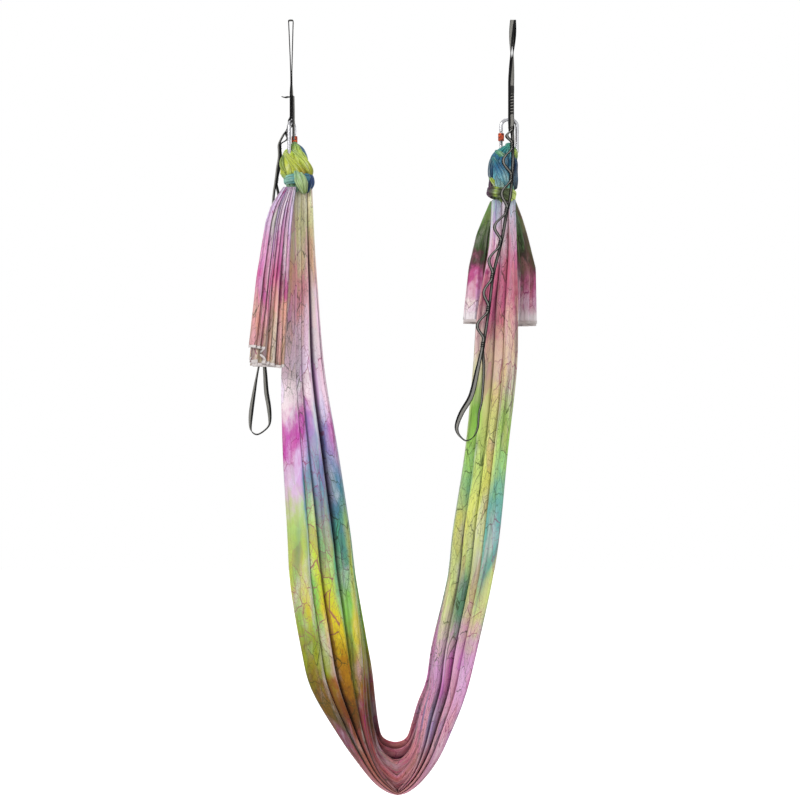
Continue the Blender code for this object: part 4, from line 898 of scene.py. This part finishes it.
def makeRod(name, c):  # round the ring from the gate's hinge, by the spine, to the nose
    x, z, r = c["halfReach"] - c["corner"], c["halfLength"] - c["corner"], c["corner"]
    low, high, thick = -c["pivotBelow"] - c["hingeRoom"], c["noseAbove"], c["rod"]
    line = [(Vector((-c["halfReach"], 0, mix(low, -z, at))), thick * part) for at, part in c["hingeEnd"]]
    corners = ((-x, -z, math.pi), (x, -z, -math.pi / 2), (x, z, 0.0), (-x, z, math.pi / 2))
    for i, (cx, cz, start) in enumerate(corners):
        for step in range(c["cornerSteps"] + 1):
            angle = start + math.pi / 2 * step / c["cornerSteps"]
            line.append((Vector((cx + r * math.cos(angle), 0, cz + r * math.sin(angle))), thick))
        if i == 1:
            line += [(Vector((c["halfReach"], 0, mix(-z, z, at))), thick) for at in c["spine"]]
    line += [(Vector((-c["halfReach"], 0, mix(z, high, at))), thick * part) for at, part in c["noseEnd"]]
    points, verts, flat = [point for point, _ in line], [], Vector((0, 1, 0))
    for i, (point, radius) in enumerate(line):
        out = flat.cross(headingAt(points, i)).normalized()
        for j in range(c["rodSides"]):
            angle = 2 * math.pi * j / c["rodSides"]
            verts.append(point + (out * math.cos(angle) + flat * math.sin(angle)) * radius)
    return addPiece(name, verts, ringFaces(len(line), c["rodSides"]), materials["metal"])


def makeTongue(name, c):  # the flat of the frame that stands in the gate's slot
    tongue = bmesh.new()
    bmesh.ops.create_cube(tongue, size=1.0)
    sink = c["tongueSink"]
    place = Matrix.Translation((-c["halfReach"], 0, -c["pivotBelow"] - c["hingeRoom"] / 2 - sink))
    size = Matrix.Diagonal((c["tongue"] * c["tongueWidth"], c["tongue"], c["hingeRoom"] + 2 * sink, 1.0))
    bmesh.ops.transform(tongue, verts=tongue.verts, matrix=place @ size)
    bmesh.ops.bevel(tongue, geom=tongue.edges[:], offset=c["tongueBevel"], segments=2, affect="EDGES")
    mesh = bpy.data.meshes.new(name)
    tongue.to_mesh(mesh)
    tongue.free()
    mesh.materials.append(materials["metal"])
    return showObject(name, mesh)


def makeGate(name, c):
    r, top, bottom = c["gate"], c["noseAbove"] - c["noseGap"], -c["pivotBelow"] - c["tongue"] - c["gateFit"]
    profile = [(c["gateCore"], bottom)] + [(r * part, bottom + up) for part, up in c["gateFoot"]]
    profile += [(r * part, c["threadFrom"] + up) for part, up in c["gateNeck"]]
    for i in range(c["threadRows"]):  # the screw thread that the sleeve's inside runs on
        profile.append((r + c["threadDeep"] * math.cos(math.pi * i), c["threadFrom"] + i * c["threadStep"]))
    profile += [(r * part, top + up) for part, up in c["gateHead"]] + [(c["gateCore"], top)]
    return lathe(name, profile, c["rodSides"], materials["metal"])


def makeSleeve(name, c):
    half, outer, inner = c["sleeveLength"] / 2, c["sleeveRadius"], c["rod"] + c["sleeveFit"]
    end, steps = c["collarEnd"], c["fluteSteps"]

    def fluted(radius, z, i):
        if radius > mix(inner, outer, 0.7) and abs(z) < half - end:
            edge = clamp01((half - end - abs(z)) / c["fluteFade"])
            groove = (0.5 - 0.5 * math.cos(2 * math.pi * i / steps)) ** c["fluteCurve"]
            return radius - c["fluteDepth"] * edge * groove
        return radius

    profile = [(inner, -half + c["sleeveLip"]), (inner + c["sleeveFlare"], -half)]
    profile += [(outer + out, -half + up) for out, up in c["shoulder"]]
    body = c["bodySteps"]
    profile += [(outer, -half + end + (2 * half - 2 * end) * i / body) for i in range(1, body)]
    profile += [(r, -z) for r, z in profile[len(c["shoulder"]) + 1::-1]]
    return lathe(name, profile, c["flutes"] * steps, materials["sleeve"], True, fluted)


def makeCarabiner(side, strap):
    c = carabiner
    matrix = (Matrix.Translation((strap.bar.x, 0, -straps[side]["carabinerDrop"]))
              @ Matrix.Rotation(math.radians(c["turn"][side]), 4, "Z")
              @ Matrix.Translation((c["shift"][side], 0, 0)))
    rod, tongue = makeRod(f"{side}CarabinerRod", c), makeTongue(f"{side}HingeTongue", c)
    gate = makeGate(f"{side}GateBody", c)
    gate.data.transform(Matrix.Translation((-c["halfReach"], 0, 0)))
    profile = [(r, -z) for r, z in c["pinHead"]] + list(c["pinHead"][::-1])
    pin = lathe(f"{side}PinHeads", profile, c["pinSides"], materials["metal"])
    pin.data.transform(Matrix.Translation((-c["halfReach"], 0, -c["pivotBelow"]))
                       @ Matrix.Rotation(math.pi / 2, 4, "X"))
    sleeve = makeSleeve(f"{side}KnurledSleeve", c)
    sleeve.data.transform(Matrix.Translation((-c["halfReach"], 0, c["sleeveAbove"])))
    for piece, body, slot, node in (
            (rod, "hammock", "metal", "carabiner_frame"), (tongue, "hammock", "metal", "carabiner_frame"),
            (gate, f"{side}_gate", "metal", "gate"), (pin, "hammock", "metal", "gate_pin"),
            (sleeve, f"{side}_sleeve", "sleeve", "screw_sleeve")):
        piece.data.transform(matrix)
        facesOut(piece, c["sharpFrom"])
        dress(piece, body, slot, f"{side}_{node}")
    for name in ("gate_plunger", "gate_spring"):
        nodes[f"{side}_{name}"].material_slots[0].material = materials["metal"]


for side in sides:
    makeCarabiner(side, strapLines[side])
print("carabiners ready")


# the last value fades the painted shade in from each layer's edges
pleatShape = {"corner": 0.93, "skew": 1.4, "depth": 0.78, "paintedShadeFrom": 2.4}


def roundedWave(phase):  # a triangle wave with soft corners, from -1 at 0 to 1 at half a turn
    corner = pleatShape["corner"]
    return -math.asin(corner * math.cos(2 * math.pi * phase)) / math.asin(corner)


def layerDepths(count):  # middle and half of each layer's depth, the first and last layers twice as deep
    weights = [2.0 if i in (0, count - 1) else 1.0 for i in range(count)]
    unit, at, rows = 2.0 / sum(weights), -1.0, []
    for weight in weights:
        rows.append((at + unit * weight / 2, unit * weight / 2))
        at += unit * weight
    return rows


pleatRipples = {  # pace across, pace along, seed and strength of each unevenness
    "swing": (0.41, 1.0, 3.1, 0.45), "wander": (0.53, 0.8, 8.4, 0.30), "phase": (0.45, 1.2, 1.7, 0.58),
    "depth": (0.7, 1.3, 6.6, 0.5), "lift": (0.9, 1.7, 5.5, 0.08),
}


def pleatAcross(cut, share, along):  # side, depth, layer and how deep in a fold, which sets the painted shade, at one share of the width
    periods = cut["pleats"] + 0.5
    k = share * cut["layers"] * periods
    layer = min(int(k / periods), cut["layers"] - 1)
    inLayer = (k - layer * periods) / periods
    heading = 1 if layer % 2 == 0 else -1

    def uneven(name):
        across, down, seed, strength = pleatRipples[name]
        return strength * ripple(k * across, along * cut["drift"] * down, seed + cut["seed"])

    inside = 0 < layer < cut["layers"] - 1
    swing = (cut["innerSwing"] if inside else cut["swing"]) * (1 + uneven("swing"))
    window = math.sin(math.pi * inLayer)
    wave = roundedWave(inLayer * periods + window * uneven("phase"))
    wave = 1 - 2 * ((1 - wave) / 2) ** pleatShape["skew"]
    side = heading * ((2 * inLayer - 1) * (1 - swing) + window * uneven("wander") + swing * wave)
    middle, half = layerDepths(cut["layers"])[layer]
    depth = middle - half * wave * (pleatShape["depth"] + uneven("depth")) + uneven("lift")
    # how far down into the fold's valley; the cloth material darkens this as painted shade
    valley = (0.5 - 0.5 * wave) * min(1.0, window * pleatShape["paintedShadeFrom"])
    return max(-1.0, min(1.0, side)), max(-1.0, min(1.0, depth)), layer, valley


def pleatedCloth(name, cut, frameAt, rowPlaces, material, thickness):
    # frameAt(along, share, layer) gives middle, side and depth vectors, the layer's reach and the place down it
    columns = int(cut["layers"] * (cut["pleats"] + 0.5) * cut["pointsPerPleat"])
    verts, uvs, folds, faces = [], [], [], []
    for along in rowPlaces:
        for column in range(columns + 1):
            share = column / columns
            side, depth, layer, valley = pleatAcross(cut, share, along * cut["length"])
            centre, sideways, deep, reach, drop = frameAt(along, share, layer)
            verts.append(centre + sideways * mix(reach[0], reach[1], (side + 1) / 2) + deep * depth)
            uvs.append((share * cut["width"], drop))
            # the fold map carries that depth for the painted shade
            folds.append((valley, share))
    step = columns + 1
    for row in range(len(rowPlaces) - 1):
        for column in range(columns):
            a = row * step + column
            faces.append((a, a + 1, a + step + 1, a + step))
    piece = addPiece(name, verts, faces, material, uvs, folds=folds)
    solid = piece.modifiers.new("thickness", "SOLIDIFY")
    solid.thickness = thickness
    solid.offset = 0.0
    return piece


sling = {
    "width": 2.8, "length": 3.23, "layers": 7, "pleats": 3, "pointsPerPleat": 12, "swing": 0.17,
    "innerSwing": 0.70, "drift": 0.9, "seed": 0.0, "thickness": 0.0011, "rows": 132, "fine": 24,
    # each layer's two edges at the seat's middle
    "upperEdges": (-0.80, -0.80, -0.30, -0.30, 0.22, 0.22, 1.0),
    "lowerEdges": (-1.0, -1.0, -1.0, -0.90, -0.90, -0.74, -0.74),
    "vee": 0.115, "veeShare": 0.72, "bowl": 0.42, "halfSpan": 0.300, "drop": 2.085, "halfDepth": 0.058,
    # side and drop of the outer edge, of the inner edge, and the depth
    "edges": ((-1.01, 0.219, -0.81, 0.219, 0.34), (-1.02, 0.285, -0.79, 0.285, 0.42),
        (-1.03, 0.35, -0.76, 0.35, 0.5), (-1.08, 0.453, -0.7, 0.453, 0.55),
        (-1.07, 0.557, -0.58, 0.557, 0.58), (-1.03, 0.66, -0.47, 0.66, 0.6),
        (-1.0, 0.732, -0.42, 0.719, 0.62), (-0.9, 0.816, -0.32, 0.803, 0.7),
        (-0.81, 0.865, -0.27, 0.844, 0.8), (-0.58, 0.921, -0.24, 0.884, 0.92),
        (-0.4, 0.958, -0.21, 0.916, 0.98), (-0.22, 0.988, -0.17, 0.932, 1.0),
        (-0.04, 1.0, -0.06, 0.938, 1.0), (0.13, 0.989, 0.04, 0.932, 1.0), (0.31, 0.958, 0.09, 0.912, 0.98),
        (0.45, 0.916, 0.14, 0.887, 0.92), (0.57, 0.872, 0.22, 0.856, 0.8), (0.67, 0.816, 0.27, 0.809, 0.7),
        (0.81, 0.725, 0.41, 0.723, 0.62), (0.88, 0.66, 0.46, 0.66, 0.6), (0.95, 0.557, 0.57, 0.557, 0.58),
        (1.03, 0.453, 0.64, 0.453, 0.55), (1.04, 0.376, 0.68, 0.376, 0.5), (1.03, 0.298, 0.78, 0.298, 0.42),
        (1.02, 0.2335, 0.81, 0.2335, 0.34)),
}


def makeSling():
    half, drop = sling["halfSpan"], sling["drop"]
    outer, inner = (smoothLine([Vector((row[i] * half, 0, -row[i + 1] * drop)) for row in sling["edges"]],
                               sling["fine"]) for i in (0, 2))
    depths = smoothLine([Vector((row[4], 0, 0)) for row in sling["edges"]], sling["fine"])
    runs = [0.0]
    for a, b in zip(outer, outer[1:]):
        runs.append(runs[-1] + (b - a).length)
    seatRun = runs[len(runs) // 2]

    def frameAt(along, share, layer):
        at = along * (len(outer) - 1)
        i = min(int(at), len(outer) - 2)
        f = at - i
        o, n = outer[i].lerp(outer[i + 1], f), inner[i].lerp(inner[i + 1], f)
        deep = mix(depths[i].x, depths[i + 1].x, f) * sling["halfDepth"]
        run = mix(runs[i], runs[i + 1], f)
        away = abs(run - seatRun)
        vee, bowl = math.exp(-away / sling["vee"]), math.exp(-(away / sling["bowl"]) ** 2)
        high = mix(1.0, sling["upperEdges"][layer], sling["veeShare"] * vee + (1 - sling["veeShare"]) * bowl)
        low = mix(-1.0, sling["lowerEdges"][layer], bowl)
        return (o + n) / 2, (n - o) / 2, Vector((0, deep, 0)), (low, high), run

    rowPlaces = [i / sling["rows"] for i in range(sling["rows"] + 1)]
    piece = pleatedCloth("gatheredSling", sling, frameAt, rowPlaces, materials["sling"], sling["thickness"])
    dress(piece, "hammock", "cloth", "sling")
    return piece


tailCloth = {
    "width": 2.8, "pleats": 7, "pointsPerPleat": 9, "swing": 0.15, "thickness": 0.0011, "halfSpan": 0.300,
    "halfDepth": 0.024,
}
tails = {  # spread: place down, the two sides, the middle's depth and half the depth; steps: the lower edge
    "left": {
        **tailCloth, "length": 0.50, "layers": 5, "innerSwing": 0.66, "drift": 1.6, "seed": 4.0, "rows": 30,
        "top": 0.4553, "bottom": 0.9420,
        "spread": ((0.0, -1.06, -0.945, -1.30, 0.48), (0.05, -1.105, -0.955, -1.75, 0.62),
                   (0.12, -1.165, -0.967, -2.15, 0.75), (0.22, -1.21, -0.98, -2.5, 0.9),
                   (0.56, -1.29, -1.01, -2.65, 1.0), (1.0, -1.36, -1.04, -2.7, 1.05)),
        "steps": ((0.0, 0.056), (0.075, 0.050), (0.10, 0.014), (0.17, 0.0), (0.25, 0.008), (0.34, 0.004),
                  (0.42, 0.030), (0.50, 0.046), (0.60, 0.024), (0.76, 0.014), (0.90, 0.024), (1.0, 0.040)),
    },
    "right": {
        **tailCloth, "length": 0.34, "layers": 4, "innerSwing": 0.52, "drift": 1.9, "seed": 9.0, "rows": 24,
        "top": 0.4863, "bottom": 0.8250,
        "spread": ((0.0, 0.80, 1.03, 1.42, 0.48), (0.13, 0.74, 1.09, 1.95, 0.6),
                   (0.27, 0.68, 1.14, 2.35, 0.75), (0.55, 0.61, 1.22, 2.7, 0.9), (1.0, 0.56, 1.23, 2.9, 1.0)),
        "steps": ((0.0, 0.012), (0.3, 0.006), (0.34, 0.022), (0.6, 0.018), (0.66, 0.0), (1.0, 0.008)),
    },
}
hem = {"deep": 0.008, "thickness": 0.0022, "rows": 3}


def makeTail(side):
    tail = tails[side]
    half, halfDepth = tail["halfSpan"], tail["halfDepth"]

    def frameAt(along, share, layer):
        _, low, high, middle, deep = readRows(tail["spread"], along)
        z = mix(tail["top"], tail["bottom"] - readRows(tail["steps"], share)[1], along)
        centre = Vector(((low + high) / 2 * half, middle * halfDepth, -z))
        sideways = Vector(((high - low) / 2 * half, 0, 0))
        return centre, sideways, Vector((0, deep * halfDepth, 0)), (-1.0, 1.0), z

    rows = [i / tail["rows"] for i in range(tail["rows"] + 1)]
    piece = pleatedCloth(f"{side}ClothTail", tail, frameAt, rows, materials[f"{side}Tail"], tail["thickness"])
    rows = [mix(1 - hem["deep"] / tail["length"], 1.0, i / hem["rows"]) for i in range(hem["rows"] + 1)]
    edge = pleatedCloth(f"{side}TailHem", tail, frameAt, rows, materials["hem"], hem["thickness"])
    dress(piece, "hammock", "cloth", f"{side}_cloth_tail")
    dress(edge, "hammock", "cloth")
    return piece, edge


# a fold holds its ridges, its twist, its dye along it, and rows of side, depth, drop, half width and half depth
# in millimetres, side counted from the knot's middle
knots = {
    "left": {
        "middle": -0.2800,
        "folds": {
            "bight": (13, 0.9, ((0, 62, 80, 56), (160, 68, 80, 44), (350, 74, 82, 30), (600, 78, 80, 30),
                (800, 56, 66, 36), (1000, 50, 66, 56)), (
                (-10.2, 0, 332.6, 6.8, 5), (-10.2, 0, 337.5, 11.5, 8), (-10.2, 0, 348.3, 19, 10.5),
                (-11.0, -1, 358, 28, 17), (-11.0, -4, 372.6, 34, 22), (-8.9, -6, 394.2, 38.5, 25),
                (-6.2, -6, 413.1, 41, 26), (-6.2, -6, 423.9, 37, 25), (-6.2, -6, 434.7, 30, 24),
                (-4.9, -4, 455, 25, 21))),
            "back": (9, -0.8, ((0, 60, 72, 34), (1000, 30, 54, 56)), (
                (-4, 6, 352, 16, 8), (-4, 12, 372, 27, 13), (-4, 15, 396, 32, 15), (-4, 14, 420, 29, 14),
                (-4, 10, 438, 20, 9))),
            "frontRoll": (8, 0.5, ((0, 80, 86, 46), (600, 74, 78, 26), (1000, 76, 62, 22)), (
                (-34.6, -14, 360, 7.0, 6), (-24.8, -22, 375, 12, 10), (-8.2, -28, 395, 15, 12),
                (8.0, -29, 413.8, 15, 12), (16.8, -25, 426.6, 8, 9))),
            "sideRoll": (8, 0.4, ((0, 70, 80, 52), (500, 80, 86, 38), (1000, 70, 70, 24)), (
                (-16.3, -10, 352.7, 7.5, 6), (-2.8, -16, 366.2, 12, 10), (14.4, -19, 385.1, 15, 12),
                (27.9, -17, 406.7, 14, 12), (31.9, -13, 422.9, 8, 8))),
            "leftLobe": (6, 0.3, ((0, 56, 66, 34), (1000, 66, 72, 28)), (
                (-37.6, -6, 366, 5.5, 6), (-41.7, -12, 383.4, 8.5, 11), (-40.3, -16, 399.6, 8.8, 11),
                (-33.2, -20, 411.8, 6.2, 8))),
            "tuckedEnd": (6, -0.4, ((0, 60, 76, 60), (600, 72, 82, 58), (1000, 58, 68, 40)), (
                (-1, -32, 412, 11, 8), (4.5, -37, 428.0, 16.5, 10), (12.5, -36, 448, 16.5, 10),
                (17.4, -31, 467, 9.6, 7))),
            "blueFold": (6, 0.3, ((0, 34, 50, 62), (500, 20, 30, 50), (1000, 22, 36, 50)), (
                (20.8, -8, 409, 10.5, 10), (28.9, -12, 425.6, 13.5, 14), (31.6, -12, 443.8, 12.8, 13),
                (26.5, -12, 462, 8.4, 9))),
            "behindFold": (6, 0.3, ((0, 26, 42, 60), (600, 34, 52, 62), (1000, 56, 68, 40)), (
                (-1.2, 6, 336.8, 4, 3), (6.9, 6, 348.3, 8.5, 7), (15.0, 5, 367.2, 9.6, 12),
                (19.1, 5, 388, 8, 11))),
        },
        "collar": {
            "drop": 0.4310, "tilt": -3.0, "ring": 0.0300, "tube": 0.0115, "high": 1.25,
            "dye": ((0, 30, 46, 60), (200, 28, 54, 58), (450, 36, 64, 62), (600, 58, 78, 70),
                (750, 26, 52, 54), (1000, 30, 46, 60)),
        },
    },
    "right": {
        "middle": 0.2675,
        "folds": {
            "bight": (14, -0.9, ((0, 34, 70, 62), (140, 28, 66, 58), (320, 26, 62, 60), (500, 18, 42, 56),
                (700, 40, 68, 74), (860, 44, 68, 60), (1000, 44, 50, 30)), (
                (19.5, 0, 335.3, 8.0, 5), (20.1, 0, 340.2, 11.6, 9), (19.0, 0, 346, 15, 13),
                (14.1, 0, 352.5, 19.5, 17), (10.6, 0, 362.8, 27.5, 21), (6.0, -2, 378.0, 34, 25),
                (3.3, -3, 405.0, 35.5, 26), (2.5, -3, 426.6, 35, 26), (5.2, -2, 448.2, 32.6, 25),
                (6.6, -2, 466, 30, 24), (7.9, 0, 484, 28.5, 22))),
            "back": (9, 0.8, ((0, 26, 50, 54), (1000, 26, 36, 52)), (
                (8, 8, 356, 17, 9), (6, 14, 378, 28, 14), (5, 17, 410, 31, 15), (5, 16, 442, 29, 14),
                (6, 12, 468, 23, 10))),
            "frontRoll": (8, -0.5, ((0, 24, 56, 56), (350, 20, 44, 60), (700, 50, 74, 80),
                (1000, 36, 60, 64)), (
                (-20.8, -16, 376, 8, 7), (-13.0, -23, 391.5, 13, 10), (-1.9, -27, 410.4, 15.5, 11),
                (7.2, -28, 431.0, 14, 10), (11.2, -25, 448.2, 7.5, 6))),
            "paleRoll": (6, -0.4, ((0, 42, 60, 66), (600, 62, 76, 72), (1000, 46, 58, 44)), (
                (-12.0, -23, 426.6, 7.4, 6), (-6.9, -28, 442.8, 12.2, 9), (-1.9, -28, 459.0, 11.4, 9),
                (1.8, -26, 472.5, 6, 6))),
            "topRoll": (6, 0.3, ((0, 26, 60, 54), (400, 44, 72, 50), (1000, 24, 54, 54)), (
                (-14.9, -8, 354.4, 6.3, 5), (-7.3, -16, 361.1, 12, 8), (4.9, -19, 371.0, 13, 8),
                (15.3, -18, 380.0, 8, 6))),
            "leftLobe": (6, 0.3, ((0, 20, 44, 48), (500, 16, 32, 44), (1000, 22, 36, 50)), (
                (-15.0, -6, 364.5, 6.5, 6), (-22.6, -10, 380.7, 9.5, 11), (-26.2, -11, 402.3, 10.2, 12),
                (-26.2, -11, 421.2, 9.3, 12), (-24.0, -10, 435, 5, 8))),
            "limeFold": (5, 0.2, ((0, 76, 84, 36), (500, 62, 70, 24), (1000, 50, 56, 24)), (
                (-30.4, -12, 424.2, 5, 5), (-24.0, -18, 434.7, 8.5, 7), (-14.0, -24, 450.9, 9.0, 8),
                (-5.1, -26, 468.1, 6, 6))),
            "plumFold": (5, 0.2, ((0, 28, 16, 28), (1000, 36, 22, 30)), (
                (-27.2, -10, 434.0, 6.3, 6), (-26.2, -12, 446.5, 9.1, 11), (-24.5, -12, 461.4, 8.5, 11),
                (-21.8, -12, 474, 4.6, 6))),
            "limeStrip": (6, 0.2, ((0, 44, 62, 44), (500, 78, 86, 40), (1000, 52, 64, 40)), (
                (33.3, 0, 345.4, 5.3, 5), (35.8, -1, 352.7, 8.0, 9), (36.6, -2, 365.5, 8.6, 12),
                (36.0, -2, 381.4, 6.9, 9))),
            "darkFold": (8, 0.3, ((0, 20, 40, 52), (400, 13, 24, 40), (700, 18, 36, 50),
                (1000, 16, 24, 32)), (
                (34.6, -4, 372.2, 7.4, 9), (35.2, -6, 388.8, 9.6, 14), (34.4, -6, 410.4, 10.1, 15),
                (34.9, -6, 432.0, 10.4, 15), (35.5, -6, 452.9, 7.9, 10))),
        },
        "collar": {
            "drop": 0.4690, "tilt": 11.0, "ring": 0.0300, "tube": 0.0120, "high": 1.35,
            "dye": ((0, 78, 86, 38), (200, 42, 46, 22), (400, 34, 24, 28), (560, 30, 16, 28),
                (630, 26, 26, 18), (680, 60, 70, 28), (720, 30, 34, 20), (830, 36, 42, 26),
                (900, 80, 88, 50), (1000, 78, 86, 38)),
        },
    },
}
knotCloth = {
    "capSteps": 5, "capLength": 0.8, "thinnest": 0.05, "sidesPerRidge": 12, "ringSteps": 132, "tubeSteps": 56,
    "fine": 8, "narrowest": 0.6, "valley": 0.82, "lumps": 0.05, "flat": 0.92, "swell": 0.16, "ringRidges": 3,
    "crest": {"bight": 0.21, "collar": 0.20}, "crestCurve": {"bight": 0.5, "collar": 0.62},
    "wander": {"bight": 0.8, "collar": 0.9}, "creaseWidth": {"bight": 0.3, "collar": 0.09},
}


def gathersOf(node):
    return [knotCloth[label][node] for label in ("crest", "crestCurve", "wander", "creaseWidth")]


def addFold(shape, middle, fold):  # one soft roll of gathered cloth, creased along its length
    ridges, twist, dyes, rows = fold
    dyes, back, steps = dyeRows(dyes), Vector((0, 1, 0)), knotCloth["capSteps"]
    points = smoothLine([Vector((middle + r[0] / 1000, r[1] / 1000, -r[2] / 1000)) for r in rows],
                        knotCloth["fine"])
    sizes = smoothLine([Vector((r[3] / 1000, r[4] / 1000, 0)) for r in rows], knotCloth["fine"])
    lines = []
    for i, (point, size) in enumerate(zip(points, sizes)):
        along = headingAt(points, i)
        wide = size.x * max(knotCloth["narrowest"], abs(along.z))
        lines.append((point, along, wide, size.y, i / (len(points) - 1)))
    caps = []
    for (point, along, wide, deep, share), sign in ((lines[0], -1), (lines[-1], 1)):
        cap = []
        for j in range(1, steps + 1):
            angle = math.pi / 2 * j / steps
            away = sign * min(wide, deep) * knotCloth["capLength"] * math.sin(angle)
            thin = max(knotCloth["thinnest"], math.cos(angle))
            cap.append((point + along * away, along, wide * thin, deep * thin, share))
        caps.append(cap)
    lines = caps[0][::-1] + lines + caps[1]
    count, base, run = knotCloth["sidesPerRidge"] * ridges, len(shape["verts"]), 0.0
    rise, curve, wanders, crease = gathersOf("bight")
    for row, (point, along, wide, deep, share) in enumerate(lines):
        if row:
            run += (point - lines[row - 1][0]).length
        across = back.cross(along).normalized()
        dye = linear(*readRows(dyes, share)[1:])
        for i in range(count):
            angle = 2 * math.pi * i / count
            x, y = math.cos(angle), math.sin(angle)
            wander = wanders * ripple(x * 1.3 + share, y * 1.3 + base * 0.01, share * 2.2)
            crest = abs(math.sin(angle * ridges / 2 + twist * share * math.pi + wander)) ** curve
            lump = knotCloth["lumps"] * ripple(angle * 2, share * 5, base * 0.1)
            size = knotCloth["valley"] + rise * crest + lump
            shape["verts"].append(point + across * x * wide * size + back * y * deep * size)
            shape["uvs"].append((min(i, count - i) / count * crease + base * 0.001, run))
            # painted shade: the fold map grows toward each crease's valley
            shape["folds"].append((1 - crest, share))
            shape["dyes"].append(dye)
    shape["faces"] += ringFaces(len(lines), count, base)


def makeCollar(shape, middle, collar):  # the turn of cloth round the knot's foot
    turns, around, dyes = knotCloth["ringSteps"], knotCloth["tubeSteps"], dyeRows(collar["dye"])
    rise, curve, wanders, crease = gathersOf("collar")
    place = (Matrix.Translation((middle, -0.002, -collar["drop"]))
             @ Matrix.Rotation(math.radians(collar["tilt"]), 4, "Y"))
    for i in range(turns):
        angle = 2 * math.pi * i / turns
        x, y = math.cos(angle), math.sin(angle)
        swell = 1.0 + knotCloth["swell"] * ripple(x * 1.1, y * 1.1, 2.0 + middle * 9)
        dye = linear(*readRows(dyes, i / turns)[1:])
        for j in range(around):
            phi = 2 * math.pi * j / around
            wander = wanders * ripple(x * 1.6 + phi, y * 1.6, 5.0)
            crest = abs(math.sin(phi * knotCloth["ringRidges"] + y * 1.5 + wander)) ** curve
            size = collar["tube"] * swell * (knotCloth["valley"] + rise * crest)
            r = collar["ring"] + size * math.cos(phi) * knotCloth["flat"]
            shape["verts"].append(place @ Vector((r * x, r * y, size * collar["high"] * math.sin(phi))))
            shape["uvs"].append((crease * min(j, around - j) / around, 0.2 * min(i, turns - i) / turns))
            # painted shade: the fold map grows toward each crease's valley
            shape["folds"].append((1 - crest, i / turns))
            shape["dyes"].append(dye)
    shape["faces"] += ringFaces(turns, around, closed=True)


def makeKnot(side):
    knot, pieces = knots[side], []
    for name, node in (("Knot", "bight"), ("Collar", "collar")):
        shape = {"verts": [], "faces": [], "uvs": [], "folds": [], "dyes": []}
        if node == "collar":
            makeCollar(shape, knot["middle"], knot["collar"])
        else:
            for fold in knot["folds"].values():
                addFold(shape, knot["middle"], fold)
        piece = addPiece(f"{side}Knot{node.title()}", material=makeKnotCloth(f"{side}{name}Cloth"), **shape)
        facesOut(piece)
        dress(piece, "hammock", f"{side}_{name.lower()}_cloth", f"{side}_knot_{node}")
        pieces.append(piece)
    return pieces


slingPiece = makeSling()
print("sling ready")
knotPieces = [piece for side in sides for piece in makeKnot(side)]
tailPieces = {side: makeTail(side) for side in sides}
print("cloth ready")


studio = {
    "lens": 85.0, "distance": 5.1, "height": -1.026, "aside": 0.0054, "floor": -2.75, "floorSize": 14.0,
    "floorTone": 0.86, "glow": 0.8, "seenStrength": 0.42, "lightStrength": 0.58, "target": (0, 0, -1.0),
    "lamps": {"keyLamp": ((-2.9, -3.1, 1.2), 1.6, 112.0), "fillLamp": ((3.2, -2.8, 0.0), 2.6, 26.0),
              "topLamp": ((0.3, 0.6, 2.6), 2.4, 30.0), "backLamp": ((0.5, 3.6, 0.4), 2.4, 38.0)},
}


def seenBare(tree):  # 1 where the camera, a mirror or glass looks, 0 where light is only gathered
    rays = addNode(tree, "ShaderNodeLightPath").outputs
    return calc(tree, "MAXIMUM", rays["Is Camera Ray"],
                calc(tree, "MAXIMUM", rays["Is Glossy Ray"], rays["Is Transmission Ray"]))


def makeStudio():
    s = studio
    material = bpy.data.materials.new("paleFloor")
    material.use_nodes = True
    tree = material.node_tree
    tree.nodes.clear()
    diffuse = addNode(tree, "ShaderNodeBsdfDiffuse", {"Color": (*[s["floorTone"]] * 3, 1.0)}).outputs[0]
    glow = addNode(tree, "ShaderNodeEmission", {"Color": (1, 1, 1, 1), "Strength": s["glow"]}).outputs[0]
    both = addNode(tree, "ShaderNodeAddShader", {0: diffuse, 1: glow}).outputs[0]
    pick = addNode(tree, "ShaderNodeMixShader", {0: seenBare(tree), 1: diffuse, 2: both}).outputs[0]
    addNode(tree, "ShaderNodeOutputMaterial", {"Surface": pick})
    size, z = s["floorSize"], s["floor"]
    floor = addPiece("studioFloor", [(-size, -size, z), (size, -size, z), (size, size, z), (-size, size, z)],
                     [(0, 1, 2, 3)], material, smooth=False)

    world = bpy.data.worlds.new("studioWorld")
    world.use_nodes = True
    bpy.context.scene.world = world
    tree = world.node_tree
    background = tree.nodes["Background"]
    background.inputs["Color"].default_value = (1, 1, 1, 1)
    strength = calc(tree, "MULTIPLY_ADD", seenBare(tree), s["seenStrength"], s["lightStrength"])
    tree.links.new(strength, background.inputs["Strength"])

    for name, (place, size, power) in s["lamps"].items():
        lamp = bpy.data.lights.new(name, "AREA")
        lamp.size, lamp.energy = size, power
        holder = showObject(name, lamp)
        holder.location = place
        holder.rotation_euler = (Vector(s["target"]) - Vector(place)).to_track_quat("-Z", "Y").to_euler()

    camera = bpy.data.cameras.new("photoCamera")
    camera.lens, camera.sensor_width = s["lens"], 36.0
    holder = showObject("photoCamera", camera)
    holder.location = (-s["aside"], -s["distance"], s["height"])
    holder.rotation_euler = (math.pi / 2, 0, 0)
    bpy.context.scene.camera = holder
    bpy.context.scene.view_settings.view_transform = "Standard"


makeStudio()
print("scene ready")
